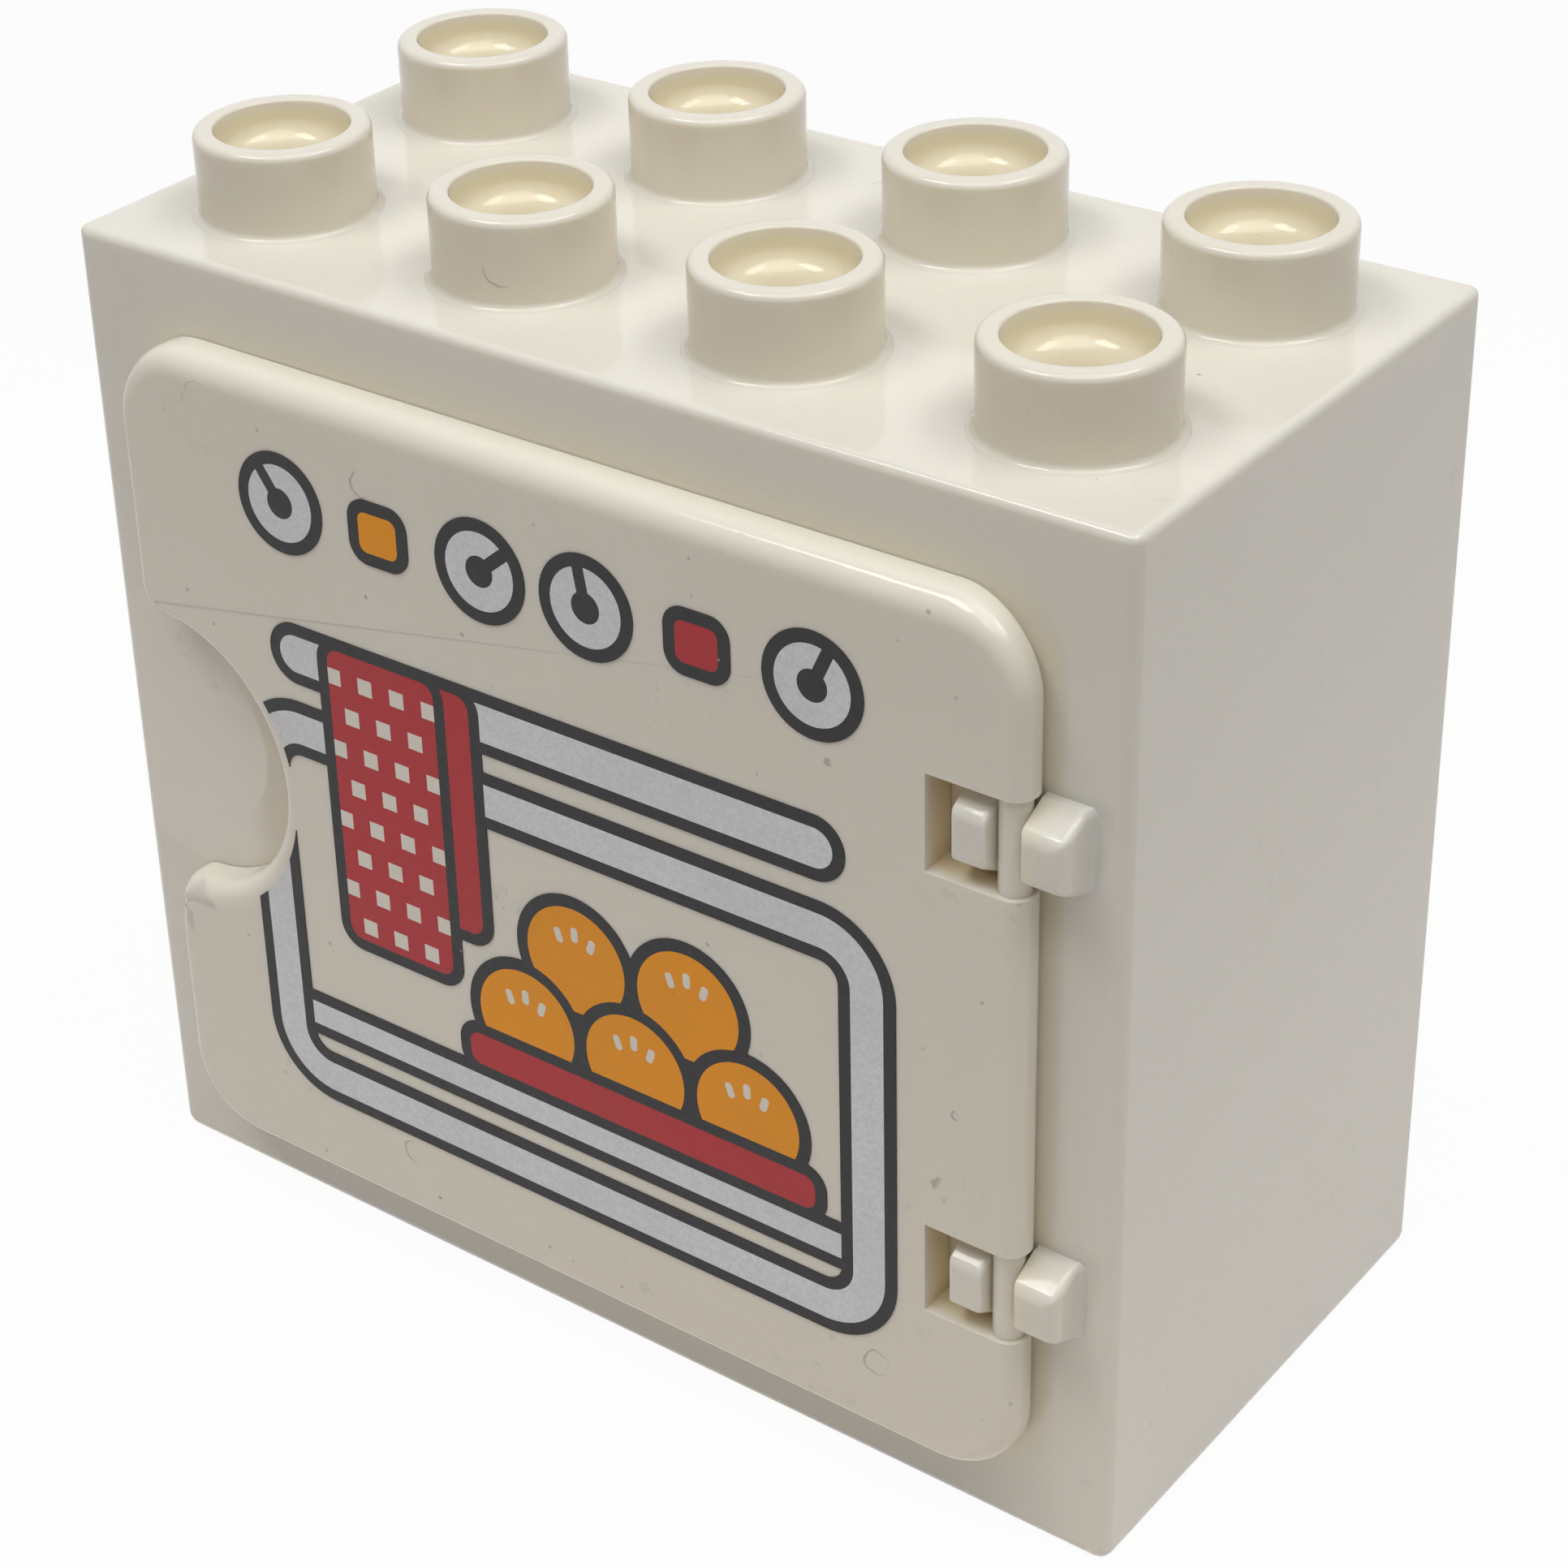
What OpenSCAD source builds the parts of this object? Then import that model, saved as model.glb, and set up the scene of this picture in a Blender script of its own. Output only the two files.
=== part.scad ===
// Toy oven for a preschool brick system: a studded cabinet with a clip-on, printed door.
// The origin is the centre of the underside, +Z is up and the door is on the -Y side.

/* [Stud grid] */
// Distance between neighbouring studs
stud_pitch = 16; // [15:0.1:17]
// Studs along the width
columns = 4; // [4:1:6]
// Studs along the depth
rows = 2; // [2:1:3]
// Height of one brick layer
layer_h = 19.2; // [18.6:0.1:20]
// Brick layers that the cabinet spans
layers = 3; // [3:1:4]
// Gap between the cabinet's side and the edge of its grid cell
grid_play = 0.1; // [0.05:0.05:0.2]

/* [Studs] */
// Diameter of a stud
stud_d = 9.3; // [8.8:0.1:9.6]
// Height of a stud
stud_h = 4.6; // [4:0.1:5.2]
// Diameter of the recess in a stud
recess_d = 7.1; // [6.4:0.1:7.4]
// Depth of the recess in a stud
recess_depth = 2.3; // [1.8:0.1:2.8]
// Radius between the wall and the floor of the recess
recess_fillet = 1.4; // [0.6:0.1:1.6]
// Diameter of the dimple in the recess floor
dimple_d = 1.8; // [1.2:0.1:2.2]
// Depth of the dimple in the recess floor
dimple_depth = 0.15; // [0.1:0.05:0.3]
// Rounding of the stud's outer rim
rim_r = 0.5; // [0.3:0.05:0.6]
// Rounding of the stud's inner rim
rim_inner_r = 0.35; // [0.2:0.05:0.4]

/* [Cabinet] */
// Thickness of the outer walls
wall = 1.8; // [1.6:0.1:2.2]
// Thickness of the cavity's walls and floor
inner_wall = 1.6; // [1.4:0.1:2]
// Thickness of the top plate over the side wells
top_t = 2; // [1.6:0.1:2.4]
// Width of the oven cavity
cavity_w = 40; // [36:0.5:41]
// Height of the oven cavity
cavity_h = 40.4; // [34:0.2:41]
// Height of the cavity floor above the underside
cavity_floor_z = 11; // [10.4:0.1:12]
// Corner radius of the cavity
cavity_r = 1.5; // [0.5:0.1:3]
// Rounding of the cabinet's upright edges
edge_r = 0.8; // [0.5:0.1:1.2]
// Rounding of the cabinet's top edges
top_edge_r = 0.5; // [0.3:0.1:1]
// Rounding of the cabinet's bottom edges
foot_edge_r = 0.9; // [0.4:0.1:1.2]

/* [Underside clutch] */
// Gap between a stud that is pushed in and what grips it
clutch_gap = 0.05; // [0.02:0.01:0.1]
// Wall thickness of the underside tubes
tube_wall = 1.2; // [1:0.1:1.5]
// Width of the grip ribs on the walls
rib_w = 1.2; // [0.8:0.1:1.6]
// Height of the grip ribs above the underside
rib_h = 7; // [5:0.5:8]

/* [Door] */
// Width of the door
door_w = 55.7; // [54:0.1:56.5]
// Height of the door
door_h = 49; // [47:0.2:50]
// Thickness of the door
door_t = 2.1; // [1.8:0.1:2.4]
// Gap between the closed door and the cabinet's face
door_gap = 0.1; // [0.05:0.05:0.2]
// Corner radius of the door
door_r = 4.5; // [3:0.1:6]
// Rounding of the door's front edge
door_edge_r = 0.7; // [0.3:0.1:0.9]
// Radius of the finger notch
notch_r = 8.7; // [7:0.1:10]
// How far the notch's centre lies inside the door's free edge
notch_inset = 0.9; // [0.2:0.1:1.4]
// How far the hinge bead stands out past the plate's corners
bead_step = 0.35; // [0.2:0.05:0.5]

/* [Hinge] */
// Diameter of the hinge rod where it is clipped in
rod_d = 1.6; // [1.4:0.1:1.7]
// Running gap around the rod
rod_gap = 0.05; // [0.02:0.01:0.09]
// Distance between the two clips
clip_span = 25.4; // [22:0.2:30]
// Height of a clip at the cabinet's face
clip_h = 4.9; // [4:0.1:5.4]
// Height of a clip at its tips
clip_tip_h = 2.2; // [1.6:0.1:3]
// How far a clip stands out from the cabinet's face
clip_reach = 2.4; // [2.3:0.05:2.7]
// Width of the inner jaw, seen through the door's window
inner_jaw_w = 1.9; // [1.5:0.1:2.2]
// Width of the outer jaw, beside the door
outer_jaw_w = 2.6; // [2:0.1:2.9]
// Width of the clip's throat, which the rod snaps through
throat_w = 1.46; // [1.2:0.02:1.55]
// Width of the clip's mouth at the tips
mouth_w = 1.9; // [1.7:0.1:2.2]
// Width of the door's window beside the rod
window_w = 3.4; // [3:0.1:3.8]
// Gap above and below a clip in its window
window_gap = 0.15; // [0.1:0.05:0.3]
// Extra height of the window's half next to the rod
window_step = 0.2; // [0.1:0.05:0.3]

/* [Print] */
// Thickness of the ink
ink_t = 0.06; // [0.04:0.01:0.1]
// Width of the dark outlines
line_w = 0.7; // [0.5:0.05:0.9]
// Diameter of a printed dial, with its outline
dial_d = 5.7; // [5:0.1:6]
// Size of a printed lamp, with its outline
lamp_size = 3.9; // [3:0.1:4.2]
// Distance between neighbours in the row of controls
control_pitch = 6.6; // [6:0.1:6.8]
// Width of the printed window frame
frame_w = 42; // [38:0.5:43]
// Height of the printed window frame
frame_h = 25.6; // [24:0.2:27]
// Width of the frame's silver band
band_w = 1.9; // [1.4:0.1:2.2]
// Width of the printed handle bar
bar_w = 35; // [30:0.5:37]
// Radius of a printed bun
bun_r = 3.5; // [3:0.1:3.6]
// Width of the printed towel
towel_w = 8.6; // [8:0.1:9.4]
// Length of the printed towel's front flap
towel_l = 19; // [17:0.2:20]
// Side of a check on the towel
check_size = 0.95; // [0.7:0.05:1.1]

/* [Hidden] */
$fn = 96;
eps = 0.01;
over = 1;

body_w = columns * stud_pitch - 2 * grid_play;
body_d = rows * stud_pitch - 2 * grid_play;
body_h = layers * layer_h;
face_y = -body_d / 2;

hinge_x = door_w / 2 - door_t / 2;
hinge_y = face_y - door_gap - door_t / 2;
door_front_y = hinge_y - door_t / 2;
door_z = body_h / 2;
window_x = hinge_x - rod_d / 2 - window_w;

tube_r = norm([stud_pitch, stud_pitch]) / 2 - stud_d / 2 - clutch_gap;
rib_reach = stud_pitch / 2 - grid_play - wall - stud_d / 2 - clutch_gap;
well_w = (body_w - cavity_w) / 2 - wall - inner_wall;

// The print is laid out from the door's centre
control_drop = 6.6;
control_z = door_h / 2 - control_drop;
dial_places = [-2.5, -0.5, 0.5, 2.5] * control_pitch;
dial_turns = [35, -50, 10, -25];
dial_hub_d = 0.3 * dial_d;
lamp_place = 1.5 * control_pitch;
lamp_fill = lamp_size - 2 * line_w;
lamp_r = 0.5;
frame_rise = 5.2;
frame_z = -door_h / 2 + frame_rise + frame_h / 2;
frame_r = 4.4;
glass_w = frame_w - 2 * (band_w + 2 * line_w);
bar_rise = 2.9;
bar_z = frame_z + frame_h / 2 + bar_rise;
bar_h = 2.2;
bun_gap = 0.1;
bun_pitch = 2 * bun_r + bun_gap;
bun_rise = 5.2;
bun_sink = 1.5;
tray_lip = 0.5;
tray_w = 3 * bun_pitch + 2 * tray_lip;
tray_h = 2;
tray_r = 0.7;
tray_margin = 0.85;
tray_x = (glass_w - tray_w) / 2 - line_w - tray_margin;
tray_rise = 8.1;
tray_z = frame_z - frame_h / 2 + tray_rise;
bun_z = tray_z + tray_h / 2 + bun_r - bun_sink;
rack_h = 1.5;
rack_z = tray_z - (tray_h + rack_h) / 2 - line_w;
glint_w = 0.45;
glint_h = 0.9;
glint_pitch = 1.05;
glint_rise = 1.6;
glint_drop = 0.35;
glint_turn = 18;
towel_x = -10.6;
towel_top = bar_z + bar_h / 2 + line_w;
towel_r = 0.8;
towel_back_x = 2.3;
towel_back_lift = 3.4;
towel_back_l = towel_l - towel_back_lift;
check_pitch = towel_w / 4;
check_rows = 8;
check_margin = 1.6;
check_top = towel_top - line_w - check_margin;

function stud_x(i) = (i - (columns - 1) / 2) * stud_pitch;
function stud_y(j) = (j - (rows - 1) / 2) * stud_pitch;
function clip_z(side) = door_z + side * clip_span / 2;

// Rectangle about the origin with round corners
module round_rect(w, h, r) {
    square([w - 2 * r, h], center = true);
    square([w, h - 2 * r], center = true);
    for (x = [-1, 1], y = [-1, 1])
        translate([x * (w / 2 - r), y * (h / 2 - r)])
            circle(r);
}

// Turns a profile drawn in X and Z so that it runs along Y from y0 to y1
module along_y(y0, y1) {
    translate([0, y1, 0])
        rotate([90, 0, 0])
            linear_extrude(y1 - y0)
                children();
}

// Turns a profile drawn in Y and Z so that it runs along X from x0 to x1
module along_x(x0, x1) {
    translate([x0, 0, 0])
        rotate([90, 0, 90])
            linear_extrude(x1 - x0)
                children();
}

// Side view of the cabinet, with its own roundings at the foot and at the top
module cabinet_side(w) {
    for (x = [-1, 1]) {
        translate([x * (w / 2 - foot_edge_r), foot_edge_r])
            circle(foot_edge_r);
        translate([x * (w / 2 - top_edge_r), body_h - top_edge_r])
            circle(top_edge_r);
    }
    translate([foot_edge_r - w / 2, 0])
        square([w - 2 * foot_edge_r, body_h - top_edge_r]);
    translate([top_edge_r - w / 2, foot_edge_r])
        square([w - 2 * top_edge_r, body_h - foot_edge_r]);
    translate([-w / 2, foot_edge_r])
        square([w, body_h - foot_edge_r - top_edge_r]);
}

// Cabinet's outer block, rounded in all three directions
module cabinet_block() {
    intersection() {
        linear_extrude(body_h)
            round_rect(body_w, body_d, edge_r);
        along_x(-body_w, body_w)
            cabinet_side(body_d);
        along_y(-body_d, body_d)
            cabinet_side(body_w);
    }
}

// Half section of a stud, from its axis outwards
module stud_section() {
    ro = stud_d / 2;
    ri = recess_d / 2;
    floor_z = stud_h - recess_depth;
    sphere_r = (pow(dimple_d / 2, 2) + pow(dimple_depth, 2)) / (2 * dimple_depth);
    difference() {
        union() {
            translate([0, -over])
                square([ro, over + stud_h - rim_r]);
            translate([ri, 0])
                square([ro - rim_r - ri, stud_h - rim_inner_r]);
            translate([ri + rim_inner_r, 0])
                square([ro - rim_r - ri - rim_inner_r, stud_h]);
            translate([ro - rim_r, stud_h - rim_r])
                circle(rim_r);
            translate([ri + rim_inner_r, stud_h - rim_inner_r])
                circle(rim_inner_r);
        }
        translate([0, floor_z + recess_fillet])
            square([ri, stud_h]);
        translate([0, floor_z])
            square([ri - recess_fillet, stud_h]);
        intersection() {
            translate([ri - recess_fillet, floor_z + recess_fillet])
                circle(recess_fillet);
            translate([0, floor_z])
                square([ri, recess_fillet]);
        }
        intersection() {
            translate([0, floor_z - dimple_depth + sphere_r])
                circle(sphere_r);
            square([dimple_d / 2, stud_h]);
        }
        translate([-over - ro, -2 * over])
            square([over + ro, stud_h + 4 * over]);
    }
}

module stud() {
    rotate_extrude()
        stud_section();
}

// Plan of a clip: two jaws with a round seat for the rod and a flared mouth
module clip_plan() {
    seat_r = rod_d / 2 + rod_gap;
    tip_y = face_y - clip_reach;
    tip_r = 0.5;
    throat_y = hinge_y - sqrt(pow(seat_r, 2) - pow(throat_w / 2, 2));
    left = hinge_x - seat_r - inner_jaw_w;
    right = hinge_x + seat_r + outer_jaw_w;
    difference() {
        union() {
            translate([left, tip_y + tip_r])
                square([right - left, clip_reach + over - tip_r]);
            translate([left + tip_r, tip_y])
                square([right - left - 2 * tip_r, clip_reach]);
            for (x = [left + tip_r, right - tip_r])
                translate([x, tip_y + tip_r])
                    circle(tip_r);
        }
        translate([hinge_x, hinge_y])
            circle(seat_r);
        polygon([
            [hinge_x - throat_w / 2, hinge_y],
            [hinge_x + throat_w / 2, hinge_y],
            [hinge_x + throat_w / 2, throat_y],
            [hinge_x + mouth_w / 2, tip_y - over],
            [hinge_x - mouth_w / 2, tip_y - over],
            [hinge_x - throat_w / 2, throat_y]
        ]);
    }
}

// Side view of a clip: full height at the face, narrowing towards the tips
module clip_side() {
    polygon([
        [face_y + over, clip_h / 2],
        [face_y, clip_h / 2],
        [face_y - clip_reach, clip_tip_h / 2],
        [face_y - clip_reach, -clip_tip_h / 2],
        [face_y, -clip_h / 2],
        [face_y + over, -clip_h / 2]
    ]);
}

module clip() {
    intersection() {
        translate([0, 0, -clip_h / 2])
            linear_extrude(clip_h)
                clip_plan();
        along_x(0, body_w)
            clip_side();
    }
}

// The oven cavity, open at the front
module cavity() {
    along_y(face_y - over, body_d / 2 - wall)
        translate([0, cavity_floor_z + cavity_h / 2])
            round_rect(cavity_w, cavity_h, cavity_r);
}

// Hollow of the underside and the two wells beside the cavity
module underside() {
    inner_w = body_w - 2 * wall;
    inner_d = body_d - 2 * wall;
    translate([-inner_w / 2, -inner_d / 2, -over])
        cube([inner_w, inner_d, over + cavity_floor_z - inner_wall]);
    for (side = [-1, 1])
        translate([side * (inner_w - well_w) / 2 - well_w / 2, -inner_d / 2, -over])
            cube([well_w, inner_d, over + body_h - top_t]);
}

// Grip tubes between the stud rows
module clutch_tubes() {
    tube_top = cavity_floor_z - inner_wall + eps;
    for (i = [0 : columns - 2], j = [0 : rows - 2])
        translate([stud_x(i) + stud_pitch / 2, stud_y(j) + stud_pitch / 2, 0])
            difference() {
                cylinder(r = tube_r, h = tube_top);
                translate([0, 0, -over])
                    cylinder(r = tube_r - tube_wall, h = over + tube_top - eps);
            }
}

// Grip ribs, one on the wall beside each outer stud place
module clutch_ribs() {
    for (turn = [0, 180])
        rotate(turn) {
            for (i = [0 : columns - 1])
                translate([stud_x(i) - rib_w / 2, body_d / 2 - wall - rib_reach, 0])
                    cube([rib_w, rib_reach + eps, rib_h]);
            for (j = [0 : rows - 1])
                translate([body_w / 2 - wall - rib_reach, stud_y(j) - rib_w / 2, 0])
                    cube([rib_reach + eps, rib_w, rib_h]);
        }
}

module cabinet() {
    color("ivory") {
        difference() {
            union() {
                cabinet_block();
                for (i = [0 : columns - 1], j = [0 : rows - 1])
                    translate([stud_x(i), stud_y(j), body_h])
                        stud();
                for (side = [-1, 1])
                    translate([0, 0, clip_z(side)])
                        clip();
            }
            cavity();
            underside();
        }
        clutch_tubes();
        clutch_ribs();
    }
}

// Disc with a rounded front rim, its back at y = 0
module corner_disc(r, t, e) {
    rotate([90, 0, 0])
        rotate_extrude($fn = 48)
            intersection() {
                union() {
                    square([r, t - e]);
                    square([r - e, t]);
                    translate([r - e, t - e])
                        circle(e, $fn = 32);
                }
                square([r, t]);
            }
}

// Flat plate with rounded corners and a rounded front edge, up to the hinge axis
module door_plate() {
    left = -door_w / 2 + door_r;
    right = door_w / 2 - bead_step - door_r;
    difference() {
        hull()
            for (x = [left, right], z = [-1, 1])
                translate([x, hinge_y + door_t / 2, door_z + z * (door_h / 2 - door_r)])
                    corner_disc(door_r, door_t, door_edge_r);
        translate([hinge_x, door_front_y - over, 0])
            cube([door_w, door_t + 2 * over, body_h]);
    }
}

// Round bead along the hinge axis from z0 to z1, with ball ends
module bead(z0, z1) {
    r = door_t / 2;
    translate([hinge_x, hinge_y, z0 + r])
        cylinder(r = r, h = z1 - z0 - 2 * r);
    for (z = [z0 + r, z1 - r])
        translate([hinge_x, hinge_y, z])
            sphere(r);
}

// Finger notch with a softened front edge
module notch_cutter() {
    soft = door_edge_r * 0.8;
    translate([notch_inset - door_w / 2, hinge_y + door_t / 2, door_z])
        rotate([90, 0, 0])
            rotate_extrude()
                difference() {
                    translate([0, -over])
                        square([notch_r + door_edge_r, door_t + 2 * over]);
                    translate([notch_r, -2 * over])
                        square([over + door_edge_r, door_t + 2 * over - soft]);
                    translate([notch_r + door_edge_r, door_t - soft])
                        circle(door_edge_r);
                }
}

// Window beside the rod, a little taller on the rod's side
module window_cutter() {
    half = clip_h / 2 + window_gap;
    translate([window_x, door_front_y - over, -half])
        cube([hinge_x - window_x, door_t + 2 * over, 2 * half]);
    translate([window_x + window_w / 2, door_front_y - over, -half - window_step])
        cube([hinge_x - window_x - window_w / 2, door_t + 2 * over, 2 * (half + window_step)]);
}

module door() {
    zone = clip_h / 2 + window_gap + window_step;
    corner_x = door_r - door_t / 2 + bead_step;
    bead_top = door_h / 2 - door_r + sqrt(pow(door_r, 2) - pow(corner_x, 2));
    color("oldlace") {
        difference() {
            door_plate();
            notch_cutter();
            for (side = [-1, 1])
                translate([0, 0, clip_z(side)])
                    window_cutter();
        }
        bead(door_z - bead_top, clip_z(-1) - zone);
        bead(clip_z(-1) + zone, clip_z(1) - zone);
        bead(clip_z(1) + zone, door_z + bead_top);
        translate([hinge_x, hinge_y, door_z - bead_top + door_t])
            cylinder(d = rod_d, h = 2 * (bead_top - door_t));
    }
}

// Round dial faces in the row of controls
module dial_shape(grow) {
    for (x = dial_places)
        translate([x, control_z])
            circle(d = dial_d - 2 * line_w + 2 * grow);
}

module dial_pointers() {
    for (k = [0 : len(dial_places) - 1])
        translate([dial_places[k], control_z])
            rotate(dial_turns[k]) {
                circle(d = dial_hub_d);
                translate([-line_w / 2, 0])
                    square([line_w, dial_d / 2 - line_w / 2]);
            }
}

module lamp_shape(side, grow) {
    translate([side * lamp_place, control_z])
        round_rect(lamp_fill + 2 * grow, 0.9 * lamp_fill + 2 * grow, lamp_r + grow);
}

// Solid window shape, shrunk by inset from the frame's outer outline
module window_shape(inset) {
    translate([0, frame_z])
        round_rect(frame_w - 2 * inset, frame_h - 2 * inset, frame_r - inset);
}

module frame_band() {
    difference() {
        window_shape(line_w);
        window_shape(line_w + band_w);
    }
}

module bar_shape(grow) {
    translate([0, bar_z])
        round_rect(bar_w + 2 * grow, bar_h + 2 * grow, bar_h / 2 - eps + grow);
}

module rack_shape(grow) {
    translate([0, rack_z])
        square([glass_w, rack_h] + 2 * grow * [1, 1], center = true);
}

module tray_shape(grow) {
    translate([tray_x, tray_z])
        round_rect(tray_w + 2 * grow, tray_h + 2 * grow, tray_r + grow);
}

// Centres of the buns in a row: three below, two above
function bun_centres(level) =
    [for (k = [0 : 2 - level]) [tray_x + (k - 1 + level / 2) * bun_pitch, bun_z + level * bun_rise]];

module bun_row(level, grow) {
    for (c = bun_centres(level))
        translate(c)
            circle(bun_r - line_w / 2 + grow);
}

// Buns with their outlines grown by grow, the upper row hidden by the lower one
module bun_shape(grow) {
    difference() {
        union() {
            bun_row(0, grow);
            difference() {
                bun_row(1, grow);
                bun_row(0, line_w);
            }
        }
        tray_shape(line_w);
    }
}

// Three short strokes on top of each bun
module bun_glints() {
    for (level = [0, 1], c = bun_centres(level), m = [-1 : 1])
        translate(c + [m * glint_pitch, glint_rise - glint_drop * abs(m)])
            rotate(-glint_turn * m)
                round_rect(glint_w, glint_h, glint_w / 2 - eps);
}

module towel_flap(x, l, grow) {
    translate([towel_x + x, towel_top - l / 2])
        round_rect(towel_w - 2 * line_w + 2 * grow, l - 2 * line_w + 2 * grow, towel_r + grow);
}

module towel_front(grow) {
    towel_flap(0, towel_l, grow);
}

module towel_back(grow) {
    towel_flap(towel_back_x, towel_back_l, grow);
}

// White checks on the front flap, every other row shifted by half a step
module towel_checks() {
    intersection() {
        for (row = [0 : check_rows - 1], col = [-1 : 2])
            translate([
                towel_x + (col - 0.5 + 0.5 * (row % 2)) * check_pitch,
                check_top - row * check_pitch
            ])
                square(check_size, center = true);
        towel_front(0);
    }
}

// Everything that the towel hides
module towel_cover() {
    towel_front(line_w);
    towel_back(line_w);
}

// Place where the finger notch and its softened edge leave no flat face for ink
module notch_clear() {
    translate([notch_inset - door_w / 2, 0])
        circle(notch_r + door_edge_r + ink_t);
}

// Puts a flat design on the door's front as a film of ink
module ink() {
    translate([0, door_front_y, door_z])
        rotate([90, 0, 0])
            linear_extrude(ink_t)
                difference() {
                    children();
                    notch_clear();
                }
}

module print_silver() {
    color("silver")
        ink()
            difference() {
                union() {
                    dial_shape(0);
                    frame_band();
                    bar_shape(0);
                    rack_shape(0);
                }
                dial_pointers();
                towel_cover();
            }
}

module print_amber() {
    color("goldenrod")
        ink()
            difference() {
                union() {
                    lamp_shape(-1, 0);
                    bun_shape(0);
                }
                bun_glints();
                towel_cover();
            }
}

module print_red() {
    color("firebrick")
        ink() {
            lamp_shape(1, 0);
            difference() {
                tray_shape(0);
                towel_cover();
            }
            difference() {
                towel_front(0);
                towel_checks();
            }
            difference() {
                towel_back(0);
                towel_front(line_w);
            }
        }
}

module print_white() {
    color("linen")
        ink() {
            towel_checks();
            difference() {
                bun_glints();
                towel_cover();
            }
        }
}

// Outline around the controls
module control_outlines() {
    dial_pointers();
    difference() {
        dial_shape(line_w);
        dial_shape(0);
    }
    for (side = [-1, 1])
        difference() {
            lamp_shape(side, line_w);
            lamp_shape(side, 0);
        }
}

// Outlines of the frame, the bar, the rack and the tray of buns, less what the towel hides
module oven_outlines() {
    difference() {
        union() {
            difference() {
                window_shape(0);
                window_shape(2 * line_w + band_w);
            }
            bar_shape(line_w);
            rack_shape(line_w);
            bun_row(0, line_w);
            bun_row(1, line_w);
            tray_shape(line_w);
        }
        frame_band();
        bar_shape(0);
        rack_shape(0);
        bun_shape(0);
        tray_shape(0);
        towel_cover();
    }
}

module towel_outlines() {
    difference() {
        towel_cover();
        towel_front(0);
        difference() {
            towel_back(0);
            towel_front(line_w);
        }
    }
}

module print_outlines() {
    color("dimgray")
        ink() {
            control_outlines();
            oven_outlines();
            towel_outlines();
        }
}

cabinet();
door();
print_outlines();
print_silver();
print_amber();
print_red();
print_white();
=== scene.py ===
"""Toy oven: the moulded cabinet, its clip-on door and the printed front, dressed for a studio view."""

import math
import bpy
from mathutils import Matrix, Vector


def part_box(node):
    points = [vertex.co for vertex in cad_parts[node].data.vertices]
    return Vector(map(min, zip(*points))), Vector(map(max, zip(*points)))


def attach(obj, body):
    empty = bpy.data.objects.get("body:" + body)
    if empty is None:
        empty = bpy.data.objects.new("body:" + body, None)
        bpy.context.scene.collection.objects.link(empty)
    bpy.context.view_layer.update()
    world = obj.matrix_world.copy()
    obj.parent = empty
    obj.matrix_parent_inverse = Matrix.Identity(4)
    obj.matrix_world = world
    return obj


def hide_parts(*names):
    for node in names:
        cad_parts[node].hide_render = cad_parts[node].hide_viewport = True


bl_info = {
    "name": "Toy Oven",
    "version": (1, 0, 0),
    "blender": (4, 5, 0),
    "location": "View3D > Sidebar > Toy Oven",
    "description": "Builds a studded toy oven with a clip-on printed door in a plain studio",
    "category": "Add Mesh",
}

from types import SimpleNamespace

import bmesh
import bpy
from mathutils import Vector

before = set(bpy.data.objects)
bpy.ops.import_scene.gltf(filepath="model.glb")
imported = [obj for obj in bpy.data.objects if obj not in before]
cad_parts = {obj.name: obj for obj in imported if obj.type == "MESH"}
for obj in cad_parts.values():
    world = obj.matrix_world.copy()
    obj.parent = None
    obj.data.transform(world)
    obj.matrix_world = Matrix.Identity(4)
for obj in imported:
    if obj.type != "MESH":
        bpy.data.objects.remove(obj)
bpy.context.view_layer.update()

MM = 0.001
PRINTS = ("print_outlines", "print_silver", "print_amber", "print_red", "print_white")


def node_size(node):
    """Lowest and highest corner of a CAD node, in millimetres."""
    low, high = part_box(node)
    return [v / MM for v in low], [v / MM for v in high]


DOOR_LOW, DOOR_HIGH = node_size("door")
CABINET_HIGH = node_size("cabinet")[1]


def length(name, description, millimetres):
    """A length in Blender's own units, given in millimetres."""
    return bpy.props.FloatProperty(
        name=name, description=description, default=millimetres * MM, min=0.0,
        precision=5, subtype="DISTANCE", unit="LENGTH",
    )


def colour(name, description, value):
    return bpy.props.FloatVectorProperty(
        name=name, description=description, default=value, subtype="COLOR", size=3, min=0.0, max=1.0
    )


def in_millimetres(settings):
    """The lengths of a group of settings, as plain numbers of millimetres."""
    keys = [key for key in settings.bl_rna.properties.keys() if key not in ("rna_type", "name")]
    return SimpleNamespace(**{key: getattr(settings, key) / MM for key in keys})


class CabinetSettings(bpy.types.PropertyGroup):
    """Sizes of the cabinet."""

    depth: length("Depth", "Depth of the cabinet without its hinge clips", 2 * CABINET_HIGH[1])
    height: length("Height", "Height of the cabinet without its studs", 57.6)
    wall: length("Wall", "Thickness of the outer walls", 1.8)
    inner_wall: length("Inner wall", "Thickness of the oven cavity's walls", 1.6)
    cavity_width: length("Cavity width", "Width of the oven cavity", 40.0)
    cavity_height: length("Cavity height", "Height of the oven cavity", 40.4)
    cavity_floor: length("Cavity floor", "Height of the cavity's floor above the underside", 11.0)
    upright_edge: length("Upright edges", "Rounding of the upright edges", 0.8)
    top_edge: length("Top edges", "Rounding of the top edges", 0.5)
    foot_edge: length("Foot edges", "Rounding of the bottom edges", 0.9)
    well_width: length("Side well", "Width of the hollow beside the cavity", 8.5)
    roof: length("Roof", "Thickness of the top over the side wells", 2.0)
    cavity_edge: length("Cavity edges", "Rounding of the oven cavity's long edges", 1.5)


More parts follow.
